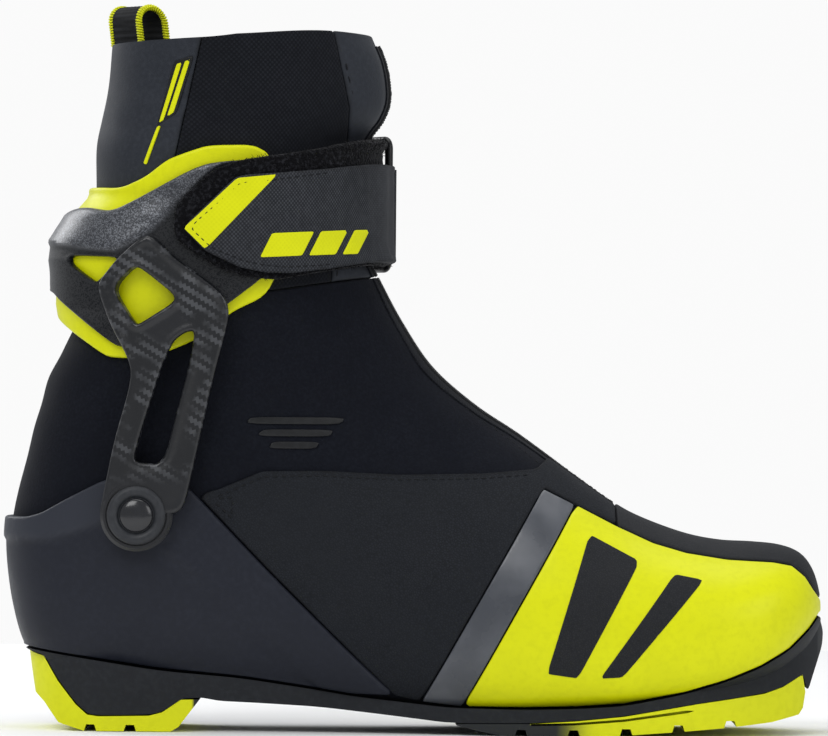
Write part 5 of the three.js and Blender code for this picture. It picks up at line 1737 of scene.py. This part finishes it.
@dataclass
class Cuff:
    """The hinged cuff: a lime lining, a flecked shell and a pierced carbon arm on each side."""

    lining_thickness: float = 2.4
    shell_thickness: float = 2.5
    arm_thickness: float = 3.5
    lining_at: float = 0.6
    shell_at: float = 3.3
    arm_at: float = 6.1
    eye_radius: float = 13.0
    eye: tuple[float, float] = (41.2, 45.3)

    def build(self) -> None:
        """Makes the lining, the shell, both arms and their pivots."""
        span = (54, 306)
        stations = (0.4, 1.5)
        lining = Panel(Region(CUFF_LINING, corner=0.18), self.lining_at, self.lining_thickness,
                       stations, span, 1.7, 1.0, cuff_bulge).make("cuff_liner")
        dress(lining, Palette.LIME_MOULDED, "cuff", "lime_plastic", "cuff_lining")
        self._shell(stations, span)
        for side in Side:
            self._arm(side)
            self._pivot(side)

    def _shell(self, stations: tuple[float, float], span: tuple[float, float]) -> None:
        """The outer shell, with creases between its bright band and its dark hollow.

        Args:
            stations: its first and last station.
            span: its first and last angle.
        """
        rear = outline("-150,175.8 -132.5,175.4 -109.1,172.8 -96.5,179.7 -74.8,201.9 -60,210")

        def relief(drawn: Rows, depth: Rows) -> Rows:
            """The band above the crease stands proud."""
            d = beside(drawn, rear)
            band = 0.55 * smooth(-0.8, 0.5, d)
            ridge = 0.3 * np.exp(-(((d - 0.8) / 0.9) ** 2))
            return band + ridge - 0.5

        panel = Panel(Region(CUFF_SHELL, (REAR_WINDOW, ARM_WINDOW), corner=0.18), self.shell_at,
                      self.shell_thickness, stations, span, 1.5, 1.1, cuff_bulge, relief)
        shell = panel.make("cuff_cover")
        drawn = MeshKit.drawn(shell)
        d = beside(drawn, rear)
        MeshKit.note(shell, "zone", smooth(0.3, -0.9, d))
        dress(shell, Palette.METALLIC, "cuff", "metallic_plastic", "cuff_shell")

    def _arm(self, side: Side) -> None:
        """A pierced arm that ends in a round eye.

        Args:
            side: the side that it is on.
        """
        lateral = side is Side.LATERAL
        start = -162 if lateral else 36
        web = outline("-101,146 -88,152.5 -80,146 -84,141 -93,139")

        def relief(drawn: Rows, depth: Rows) -> Rows:
            """The faces hollow gently between raised edges."""
            hollow = -0.45 * smooth(1.2, 3.6, depth)
            swell = 0.9 * smooth(104, 86, drawn[:, 2])
            return hollow + swell * smooth(0.5, 4.0, depth) * 0.4

        panel = Panel(Region(ARM, (ARM_WINDOW, ARM_SLOT), corner=0.2), self.arm_at,
                      self.arm_thickness, (0.4, 1.6), (start, start + 126), 1.2, 1.3, cuff_bulge, relief)
        arm = panel.make(f"arm_plate_{side.word}")
        low, high = self.eye
        profile = [(6.6, low), (self.eye_radius, low), (self.eye_radius, high - 1.1),
                   (self.eye_radius - 1.1, high), (11.0, high), (10.8, high - 0.5), (6.6, high - 0.5),
                   (6.6, low)]
        ring = MeshKit.lathe("eye", profile, side.value)
        arm = MeshKit.merge(f"arm_{side.word}_carbon", [arm, ring])
        drawn = MeshKit.drawn(arm)
        sides = drawn[:, [0, 2]]
        plain = smooth(96, 88, sides[:, 1])
        plain = np.maximum(plain, smooth(-1.5, 1.0, signed_distance(sides, web)))
        MeshKit.note(arm, "zone", plain)
        dress(arm, Palette.CARBON, "cuff", "carbon", f"arm_{side.word}")

    def _pivot(self, side: Side) -> None:
        """The pin, the bush and the ringed cap of a pivot.

        Args:
            side: the side that it is on.
        """
        s, outer = side.value, self.eye[1]
        bush = [(4.4, self.eye[0]), (6.2, self.eye[0]), (6.2, outer), (4.4, outer), (4.4, self.eye[0])]
        sleeve = MeshKit.lathe(f"bush_{side.word}", bush, s, 48)
        dress(sleeve, Palette.BLACK, "cuff", "black_plastic", f"pivot_bush_{side.word}")
        pin = [(0, 37.2), (4.0, 37.2), (4.0, outer - 0.6), (3.7, outer - 0.3), (0, outer - 0.3)]
        post = MeshKit.lathe(f"pin_{side.word}", pin, s, 40)
        dress(post, Palette.STEEL, "boot", "steel", f"pivot_pin_{side.word}")
        base = outer + 0.3
        ring = [(0, base), (9.9, base), (10.4, base + 0.5), (10.4, base + 1.2), (9.8, base + 1.9),
                (8.6, base + 2.2), (7.2, base + 1.7), (6.6, base + 1.0), (6.3, base + 0.7), (0, base + 0.7)]
        rim = MeshKit.lathe(f"cap_ring_{side.word}", ring, s, 96)
        dress(rim, Palette.GREY_RING, "boot", "black_plastic", f"pivot_cap_{side.word}")
        dome = [(0, base + 0.75), (6.0, base + 0.75), (6.0, base + 1.5)]
        dome += [(6.0 * math.cos(a), base + 1.5 + 1.9 * math.sin(a)) for a in np.linspace(0.15, 1.5, 9)]
        dome += [(0, base + 3.4)]
        button = MeshKit.lathe(f"cap_dome_{side.word}", dome, s, 96)
        dress(button, Palette.GLOSS_CAP, "boot", "black_plastic")


def raise_collar(obj: Piece) -> Piece:
    """Lifts the collar's rim in front, where the leg's padding fills it out.

    Args:
        obj: the piece.

    Returns:
        The same piece.
    """
    drawn = MeshKit.drawn(obj)
    rise = 4.4 * smooth(-78, -28, drawn[:, 0]) * smooth(203, 246, drawn[:, 2])
    drawn[:, 2] += rise
    obj.data.vertices.foreach_set("co", SURFACE.place(drawn).astype(np.float32).ravel())
    obj.data.update()
    return obj


@dataclass
class Collar:
    """The collar round the lower leg, with its padded lining, pull loop and label."""

    softshell: float = 2.0
    stations: tuple[float, float] = (0.0, 1.14)
    loop_at: tuple[float, float] = (-100.6, 0.0)
    loop_lean: float = 3.0
    loop_hidden: float = 9.5
    loop_top: float = 262.4
    loop_turn: float = 37.0
    seam_top: float = 243.0
    loop_size: tuple[float, float, float] = (13.0, 24.0, 19.0)

    def build(self) -> None:
        """Makes the collar's cloths, its lining, the loop and the label."""
        self._cloths()
        lining = Panel(Region(above(CUFF_EDGE), rim=True, corner=0.05), -4.5, 2.3, self.stations, spacing=2.6,
                       edge=1.1).make("collar_padding")
        raise_collar(lining)
        dress(lining, Palette.LINING, "cuff", "foam", "collar_lining")
        self._loop()
        self._label()

    def _cloths(self) -> None:
        """The coated rear and front cloths, and the stretch cloth between them on each side."""
        far = 400.0
        rear = closed(REAR_SEAM, (REAR_SEAM[-1][0], 100), (-far, 100), (-far, 262))
        front = closed(FRONT_SEAM, (FRONT_SEAM[-1][0], 100), (far, 100), (far, 262))
        between = closed(moved(REAR_SEAM, 0.15, 0), moved(FRONT_SEAM, -0.15, 0)[::-1])
        for name, edge, finish, node, height in (
            ("collar_back_cloth", moved(rear, -0.15, 0), Palette.COATED, "collar_rear", 0.25),
            ("collar_front_cloth", moved(front, 0.15, 0), Palette.COATED, "collar_front", 0.5),
        ):
            cloth = self._cloth(name, edge, (-180, 180) if "back" in name else (-90, 90), height)
            dress(cloth, finish, "cuff", "coated_fabric", node)
            seam = moved(REAR_SEAM, -1.6, 0) if "back" in name else moved(FRONT_SEAM, 1.8, 0)
            for side in Side:
                inside = seam[seam[:, 1] < self.seam_top]
                row = Seamstress.sew(f"{name}_seam_{side.word}", cloth, inside, side, (4.2, 2.2, 0.25),
                                     "cuff", "coated_fabric")
                if row:
                    raise_collar(row)
        for side in Side:
            degrees = (-150, -20) if side is Side.LATERAL else (20, 150)
            name = f"collar_stretch_cloth_{side.word}"
            cloth = self._cloth(name, between, degrees, 0.0)
            dress(cloth, Palette.STRETCH, "cuff", "stretch_fabric", f"collar_stretch_{side.word}")

    def _cloth(self, name: str, edge: Rows, degrees: tuple[float, float], pad: float) -> Piece:
        """One cloth of the collar.

        Args:
            name: the piece's name.
            edge: its side outline.
            degrees: its first and last angle.
            pad: how far its padding swells it, in millimetres.

        Returns:
            The new piece.
        """

        def relief(drawn: Rows, depth: Rows) -> Rows:
            """Padding that swells from the seams, with soft creases below the rim."""
            x, z = drawn[:, 0], drawn[:, 2]
            swell = pad * smooth(0, 7, depth)
            soft = 1.0 if pad else 2.2
            crease = 0.35 * np.sin(z * 0.30 + 0.09 * x + 1.4 * np.sin(x * 0.07)) * soft
            crease *= 0.6 + 0.4 * np.sin(x * 0.13 - z * 0.05)
            near = np.exp(-(((z - 222) / 16) ** 2))
            zip_side = np.where(x > -50, smooth(6.5, 13, np.abs(drawn[:, 1])), 1.0)
            return (swell + crease * near * (0.5 + pad)) * zip_side

        region = Region(edge, (below(CUFF_EDGE),), rim=True, corner=0.0)
        panel = Panel(region, -self.softshell, self.softshell, self.stations, degrees, 1.7, 0.7,
                      relief=relief)
        return raise_collar(panel.make(name))

    def _on_loop(self, along: float, across: float, up: float) -> Rows:
        """A place on the loop, from its span, its width and its height over its foot.

        Args:
            along: the place along the span.
            across: the place across the width.
            up: the height over the foot.

        Returns:
            The place in drawn millimetres.
        """
        a = math.radians(self.loop_turn)
        span_way = np.array([math.cos(a), math.sin(a), 0])
        width_way = np.array([-math.sin(a), math.cos(a), 0])
        foot = np.array([*self.loop_at, self.loop_top - self.loop_size[1]])
        lean = np.array([-self.loop_lean * up / self.loop_size[1], 0, up])
        return foot + span_way * along + width_way * across + lean

    def _loop(self) -> None:
        """Black webbing bent over, with lime overlocked edges."""
        span, height, width = self.loop_size
        radius = span / 2 - 0.75
        bend = height - span / 2
        line = [(-radius, z) for z in np.linspace(self.loop_hidden, bend, 12)]
        line += [(-radius * math.cos(a), bend + radius * math.sin(a)) for a in np.linspace(0.12, 3.02, 24)]
        line += [(radius, z) for z in np.linspace(bend, 0, 16)]
        line = np.array(line)
        ahead = np.gradient(line, axis=0)
        ahead /= np.linalg.norm(ahead, axis=1, keepdims=True)
        out = np.stack([-ahead[:, 1], ahead[:, 0]], 1)
        run = run_along(line)
        points, faces = [], []
        across = np.linspace(-width / 2, width / 2, 17)
        n = len(across)
        for i, (p, o) in enumerate(zip(line, out)):
            for layer in (1, -1):
                for k, w in enumerate(across):
                    rib = 0.12 * math.sin(w * 2.6) + 0.05 * math.sin(run[i] * 3.1 + k * math.pi)
                    half = (0.62 + rib) * (1 - 0.5 * abs(2 * w / width) ** 8)
                    u, z = p + o * half * layer
                    points.append(self._on_loop(u, w, z))
        for i in range(len(line) - 1):
            for k in range(n - 1):
                a, b = i * 2 * n + k, (i + 1) * 2 * n + k
                faces.append((a, a + 1, b + 1, b))
                faces.append((a + n, b + n, b + n + 1, a + n + 1))
            for k, m in ((0, n), (2 * n - 1, n - 1)):
                a, b = i * 2 * n, (i + 1) * 2 * n
                faces.append((a + k, b + k, b + m, a + m))
        for i, turn in ((0, 1), (len(line) - 1, -1)):
            a = i * 2 * n
            for k in range(n - 1):
                faces.append((a + k, a + n + k, a + n + k + 1, a + k + 1)[::turn])
        band = MeshKit.build("pull_loop_webbing", SURFACE.place(np.array(points)), faces, 60)
        MeshKit.weld(band)
        dress(band, Palette.LOOP, "cuff", "webbing", "pull_loop")
        for name, w in (("near", -width / 2), ("far", width / 2)):
            self._overlock(name, line, out, run, w)

    def _overlock(self, name: str, line: Rows, out: Rows, run: Rows, w: float) -> None:
        """Lime thread wound over one edge of the loop's webbing.

        Args:
            name: the edge's name.
            line: the band's middle, as (span, height).
            out: the band's outward directions.
            run: how far along each point lies.
            w: the edge's place across the width.
        """
        inward = -math.copysign(1, w)
        turns = np.arange(0, run[-1], 0.16)
        path = []
        for s in turns:
            p = np.array([np.interp(s, run, line[:, 0]), np.interp(s, run, line[:, 1])])
            o = np.array([np.interp(s, run, out[:, 0]), np.interp(s, run, out[:, 1])])
            a = s * math.tau / 0.95
            u, z = p + o * 0.85 * math.sin(a)
            reach = w + inward * (0.9 - 1.15 * math.cos(a))
            path.append(self._on_loop(u, reach, z))
        cord = MeshKit.tube(f"loop_overlock_{name}", SURFACE.place(np.array(path)), 0.42 * MM, 5)
        dress(cord, Palette.OVERLOCK, "cuff", "webbing")

    def _label(self) -> None:
        """Two plain lime bars on a dark patch, and a lime piping down the seam."""
        patch = outline("-88.6,240.9 -81.4,243 -87.6,222.3 -94.9,217.6")
        bars = (
            outline("-87.6,239.9 -85.7,240.5 -92.2,219.9 -93.9,218.8"),
            outline("-84.6,240.9 -82.7,241.5 -88.6,222.5 -91.0,221"),
        )
        piping = outline("-94.6,217.3 -93.2,218.2 -98.4,203.6 -99.4,204.4")
        place = (0.0, 0.95), (-150, -70)
        back = Panel(Region(patch, corner=0.06), 0.1, 0.55, *place, 1.0, 0.25).make("label_patch")
        dress(back, Palette.BLACK, "cuff", "lime_plastic", "collar_label")
        for k, edge in enumerate((*bars, piping)):
            bar = Panel(Region(edge, corner=0.06), 0.3, 0.65, *place, 0.8, 0.2).make(f"label_bar_{k}")
            dress(bar, Palette.LIME_PRINT, "cuff", "lime_plastic")


@dataclass
class Strap:
    """The cuff strap: a fuzzy pad, a printed flap, a wire ring and the tab that holds it."""

    pad_at: float = 6.1
    pad_thickness: float = 2.2
    flap_at: float = 8.6
    flap_thickness: float = 1.9
    wire: float = 1.5
    ring_height: float = 50.0
    ring_middle: float = 191.3
    flap_bar: tuple[float, float] = (-11.27, 17.24)
    tab_bar: tuple[float, float] = (-19.87, 31.85)

    def build(self) -> None:
        """Makes the strap's pieces on their three bodies."""
        self._pad()
        self._flap()
        self._ring()
        self._tab()

    def _pad(self) -> None:
        """The looped pad under the flap, with loose fibres along its edge."""
        rng = np.random.default_rng(7)
        rough = rng.normal(0, 1, (64, 64))

        def relief(drawn: Rows, depth: Rows) -> Rows:
            """Tufts of loops."""
            i = (drawn[:, 0] / 1.1 + drawn[:, 1] / 1.7).astype(int) % 64
            k = (drawn[:, 2] / 1.1).astype(int) % 64
            return 0.16 * rough[i, k]

        front = Panel(Region(PAD, corner=0.15), self.pad_at, self.pad_thickness, (0.4, 1.14),
                      (-126, 126), 1.3, 0.9, strap_lift, relief)
        pad = front.make("strap_pad")
        dress(pad, Palette.PILE, "cuff", "pile", "strap_base")
        self._fibres(pad, rng)

    @staticmethod
    def _fibres(pad: Piece, rng: np.random.Generator) -> None:
        """Short curled fibres that stand out along the pad's edge.

        Args:
            pad: the pad.
            rng: the random numbers.
        """
        mesh = pad.data
        rim = np.zeros(len(mesh.vertices), np.float32)
        mesh.attributes["rim"].data.foreach_get("value", rim)
        points = np.array([v.co for v in mesh.vertices])
        normals = np.array([v.normal for v in mesh.vertices])
        near = np.nonzero((rim < 4.5) & (rim > 0.0))[0]
        chosen = rng.choice(near, size=min(3600, len(near) * 2), replace=True)
        verts, faces = [], []
        for index in chosen:
            root = points[index] + rng.normal(0, 0.4, 3) * MM
            way = normals[index] + rng.normal(0, 0.55, 3)
            way /= np.linalg.norm(way)
            side = np.cross(way, rng.normal(0, 1, 3))
            side /= np.linalg.norm(side)
            length, curl = rng.uniform(0.5, 1.25) * MM, rng.normal(0, 0.5) * MM
            base = len(verts)
            third = np.cross(way, side)
            for share, fat in ((0.0, 0.11), (0.55, 0.09), (1.0, 0.05)):
                middle = root + way * length * share + side * curl * share**2
                for a in (0, math.tau / 3, 2 * math.tau / 3):
                    verts.append(middle + (side * math.cos(a) + third * math.sin(a)) * fat * MM)
            for row in (0, 3):
                for k in range(3):
                    m = (k + 1) % 3
                    faces.append((base + row + k, base + row + m, base + row + 3 + m, base + row + 3 + k))
            faces += [(base + 2, base + 1, base), (base + 6, base + 7, base + 8)]
        tufts = MeshKit.build("strap_pad_fibres", np.array(verts), faces)
        dress(tufts, Palette.PILE, "cuff", "pile")

    def _bars(self) -> tuple[Rows, Rows]:
        """The ring's two upright bars, for the flap and for the tab, seen from above in metres."""
        flap, tab = SURFACE.place(np.array([[*self.flap_bar, 0.0], [*self.tab_bar, 0.0]]))[:, :2]
        return flap, tab

    def _sleeve(self, name: str, place: Rows, body: str, finish: Finish, slot: str) -> None:
        """The strap's end, sewn round a bar of the ring.

        Args:
            name: the piece's name.
            place: the bar, seen from above in metres.
            body: the body that it rides on.
            finish: its finish.
            slot: a material slot name, handed on to dress.
        """
        low, high = 171.5 * MM, 204 * MM
        rows = np.linspace(low, high, 30)
        outer, inner = 2.85 * MM, 1.8 * MM
        verts, sides = [], 28
        ring = [(outer, z) for z in rows] + [(inner, z) for z in rows[::-1]]
        for r, z in ring:
            for k in range(sides):
                a = math.tau * k / sides
                verts.append((place[0] + r * math.cos(a), place[1] + r * math.sin(a), z))
        sleeve = MeshKit.build(name, np.array(verts), MeshKit.quads(len(ring), sides))
        MeshKit.weld(sleeve)
        dress(sleeve, finish, body, slot)

    def _toward(self, bar: Rows, degrees: float) -> Callable[[Rows], Rows]:
        """A lift that carries a web out to its bar as the angle nears the bar's.

        Args:
            bar: the bar, seen from above in metres.
            degrees: its angle on the boot.

        Returns:
            The lift.
        """

        def lift(params: Rows) -> Rows:
            """The strap's lift, rising to the bar."""
            base = strap_lift(params)
            normal = SURFACE.normals(params)
            bar_drawn = bar / MM - SURFACE.shift[:2]
            gap = bar_drawn - SURFACE.points(params)[:, :2]
            flat = normal[:, :2]
            target = (gap * flat).sum(1) / np.maximum((flat**2).sum(1), 0.2) - 1.0 - self.flap_at
            near = smooth(26, 4, np.abs(params[:, 1] - degrees))
            return base + (target - base) * near

        return lift

    def _flap(self) -> None:
        """The flap that closes over the pad, with its slanted print and sewn edges."""
        bar, _ = self._bars()
        lift = self._toward(bar, 18)
        fold = outline("-21.5,208 -18.3,166")

        def relief(drawn: Rows, depth: Rows) -> Rows:
            """A sewn welt along the edge, and the fold in front."""
            welt = 0.22 * smooth(3.4, 2.2, depth) - 0.18 * np.exp(-(((depth - 2.8) / 0.35) ** 2))
            d = beside(drawn, fold)
            return welt + 0.3 * np.exp(-((d / 1.0) ** 2))

        web = Panel(Region(FLAP, corner=0.1), self.flap_at, self.flap_thickness, (0.4, 1.14),
                    (-108, 15), 1.2, 0.5, lift, relief).make("strap_cover")
        dress(web, Palette.WEBBING, "flap", "synthetic", "strap_flap")
        self._sleeve("strap_cover_sleeve", bar, "flap", Palette.WEBBING, "synthetic")
        slash = outline("-84.2,180.9 -65.2,198.9 -50.7,200.4 -76.4,173.3")
        blocks = [
            outline("-52.5,179.3 -37.5,180.1 -41.8,171.4 -56.8,170.6"),
            outline("-35,180.2 -25.5,180.8 -29.8,172 -39.3,171.5"),
            outline("-23,180.9 -17.6,181.2 -21.9,172.4 -27.3,172.1"),
        ]
        for k, edge in enumerate([slash, *blocks]):
            region = Region(edge, corner=0.04)
            print_ = Panel(region, self.flap_at + 1.2, 1.0, (0.4, 1.14), (-108, 15), 1.1, 0.2, lift)
            dress(print_.make(f"strap_print_{k}"), Palette.LIME_PRINT, "flap", "synthetic")
        line = rounded(FLAP, 2, 0.1)
        keep = line[line[:, 0] < -21]
        start = int(np.argmax(np.abs(np.diff(keep[:, 1], append=keep[0, 1])))) + 1
        keep = np.roll(keep, -start, axis=0)
        centre = keep.mean(axis=0)
        inner = keep + (centre - keep) / np.linalg.norm(centre - keep, axis=1, keepdims=True) * 2.6
        Seamstress.sew("strap_cover_stitches", web, inner, Side.LATERAL, (2.6, 1.8, 0.24), "flap",
                       "synthetic")

    def _ring(self) -> None:
        """A black wire ring with rounded corners."""
        flap, tab = self._bars()
        r = self.wire * MM
        low = (self.ring_middle - self.ring_height / 2) * MM + r
        high = (self.ring_middle + self.ring_height / 2) * MM - r
        across = tab - flap
        width = np.linalg.norm(across)
        bend = 3.0 * MM
        path = []
        for (cu, cz), start in (((width - bend, high - bend), 0.0), ((bend, high - bend), 0.5),
                                ((bend, low + bend), 1.0), ((width - bend, low + bend), 1.5)):
            for a in np.linspace(start * math.pi, (start + 0.5) * math.pi, 7):
                u, z = cu + bend * math.cos(a), cz + bend * math.sin(a)
                point = flap + across / width * u
                path.append((*point, z))
        full = []
        for a, b in zip(path, path[1:] + path[:1]):
            steps = max(1, int(np.linalg.norm(np.subtract(b, a)) / (3 * MM)))
            full += [np.array(a) + (np.array(b) - a) * k / steps for k in range(steps)]
        ring = MeshKit.tube("wire_ring", np.array(full), r, 16, loop=True)
        dress(ring, Palette.BLACK, "ring", "black_plastic", "strap_ring")

    def _tab(self) -> None:
        """The webbing tab, riveted to the cuff on the medial side."""
        _, bar = self._bars()
        lift = self._toward(bar, 36)
        whole = outline("-200,172.5 200,172.5 200,204 -200,204")
        tab = Panel(Region(whole, corner=0.02), self.flap_at, self.flap_thickness, (0.5, 1.1),
                    (38.5, 90), 1.4, 0.5, lift).make("ring_tab_webbing")
        dress(tab, Palette.WEBBING, "cuff", "webbing", "ring_tab")
        self._sleeve("ring_tab_sleeve", bar, "cuff", Palette.WEBBING, "webbing")
        refinish("tab_rivet", Palette.STEEL)


@dataclass
class Zip:
    """The front zip in two lengths: one on the boot and across the ankle, one on the collar."""

    half_tape: float = 7.0
    half_coil: float = 2.3
    tape_at: float = -0.1
    coil_at: float = 0.5
    tooth: float = 1.25

    def build(self) -> None:
        """Makes the tapes and coils, and finishes the slider."""
        upper = above(CUFF_EDGE)
        lower = outline("-200,76.5 71.5,76.5 71.5,300 -200,300")
        for name, edge, stations, nodes in (
            ("foot", lower, (1.0, 2.3), ("lower", "ankle")),
            ("leg", upper, (0.12, 1.14), ("upper",)),
        ):
            for kind, at, thick, half in (
                ("tape", self.tape_at, 0.7, self.half_tape), ("coil", self.coil_at, 0.9, self.half_coil),
            ):
                holes = () if name == "leg" else (above(moved(CUFF_EDGE, 0, -0.5)),)
                region = Region(edge, holes, half_width=half, corner=0.0)
                spacing = 1.4 if kind == "tape" else 0.42
                strip = Panel(region, at, thick, stations, (-14, 14) if kind == "tape" else (-5, 5),
                              spacing, 0.3, relief=self._teeth if kind == "coil" else None)
                obj = strip.make(f"zip_{kind}_{name}")
                slots = [f"zip_{kind}_{n}" for n in nodes]
                finish = Palette.COIL if kind == "coil" else Palette.STRETCH
                if name == "leg":
                    raise_collar(obj)
                dress(obj, finish, "cuff" if name == "leg" else "", "black_plastic", *slots)
        refinish("zip_slider", Palette.STEEL)

    def _teeth(self, drawn: Rows, depth: Rows) -> Rows:
        """Teeth that reach over the middle in turn from each side."""
        run = drawn[:, 2] * 1.2 - drawn[:, 0] * 0.55
        phase = np.where(drawn[:, 1] > 0, 0, math.pi)
        return 0.28 * np.sin(run * math.tau / self.tooth + phase)


@dataclass
class Studio:
    """The pale floor, the soft lights and the camera."""

    distance: float = 2.6
    view_width: float = 0.29808
    centre: tuple[float, float] = (-0.00126, 0.1315)
    roll: float = 0.00826
    floor_radius: float = 0.8

    def build(self) -> None:
        """Makes the floor, the lights, the world and the camera."""
        self._floor()
        self._world()
        self._light("key", (-0.7, -1.5, 1.5), 1.1, 17, (0, 0, 0.12))
        self._light("fill", (1.3, -1.1, 0.7), 0.9, 6, (0, 0, 0.12))
        self._light("top", (0.05, 0.15, 1.7), 1.3, 11, (0, 0, 0.1))
        self._light("rim", (-1.2, 1.0, 0.9), 0.9, 10, (0, 0, 0.14))
        self._camera()

    def _floor(self) -> None:
        """A round pale floor."""
        turns = np.linspace(0, math.tau, 96, endpoint=False)
        verts = [(self.floor_radius * math.cos(a), self.floor_radius * math.sin(a), -0.0002) for a in turns]
        floor = MeshKit.build("studio_floor", np.array(verts), [tuple(range(96))], 60)
        s = Shader("studio_paper")
        shade = s.tint(s.noise(220, 2), (0.90, 0.90, 0.90), (0.93, 0.93, 0.93))
        s.feed(s.surface.inputs["Base Color"], shade)
        s.surface.inputs["Roughness"].default_value = 0.85
        floor.data.materials.append(s.material)

    @staticmethod
    def _world() -> None:
        """A soft surround that is white behind the boot."""
        world = bpy.data.worlds.new("studio")
        world.use_nodes = True
        tree = world.node_tree
        soft = tree.nodes["Background"]
        soft.inputs[0].default_value, soft.inputs[1].default_value = (0.95, 0.97, 1.0, 1), 0.5
        white = tree.nodes.new("ShaderNodeBackground")
        white.inputs[0].default_value, white.inputs[1].default_value = (1, 1, 1, 1), 0.96
        seen = tree.nodes.new("ShaderNodeLightPath")
        mixed = tree.nodes.new("ShaderNodeMixShader")
        tree.links.new(seen.outputs["Is Camera Ray"], mixed.inputs[0])
        tree.links.new(soft.outputs[0], mixed.inputs[1])
        tree.links.new(white.outputs[0], mixed.inputs[2])
        tree.links.new(mixed.outputs[0], tree.nodes["World Output"].inputs[0])
        bpy.context.scene.world = world

    @staticmethod
    def _light(
        name: str, place: tuple[float, float, float], size: float, power: float,
        aim: tuple[float, float, float],
    ) -> None:
        """A square soft light that faces a point.

        Args:
            name: the light's name.
            place: where it stands.
            size: its width in metres.
            power: its power in watts.
            aim: what it points at.
        """
        lamp = bpy.data.lights.new(name, "AREA")
        lamp.size, lamp.energy = size, power
        obj = bpy.data.objects.new(name, lamp)
        obj.location = place
        obj.rotation_mode = "QUATERNION"
        obj.rotation_quaternion = (Vector(aim) - Vector(place)).to_track_quat("-Z", "Y")
        bpy.context.scene.collection.objects.link(obj)

    def _camera(self) -> None:
        """A long lens, level with the boot, looking along +Y."""
        lens = bpy.data.cameras.new("camera")
        lens.type, lens.sensor_width = "PERSP", 36.0
        lens.lens = 36.0 * self.distance / self.view_width
        lens.clip_start, lens.clip_end = 0.05, 20
        cam = bpy.data.objects.new("camera", lens)
        cam.location = (self.centre[0], -self.distance - 0.03, self.centre[1])
        cam.rotation_euler = (math.pi / 2, -math.atan(self.roll), 0)
        bpy.context.scene.collection.objects.link(cam)
        bpy.context.scene.camera = cam
        bpy.context.scene.view_settings.view_transform = "Standard"


def main() -> None:
    """Builds the studio and the boot's sub-assemblies in order."""
    logging.basicConfig(level=logging.INFO, format="%(name)s %(message)s")
    Studio().build()
    for assembly in (Sole(), LowerBoot(), Cuff(), Collar(), Strap(), Zip()):
        LOG.info("building the %s", type(assembly).__name__)
        assembly.build()


if __name__ == "__main__":
    main()
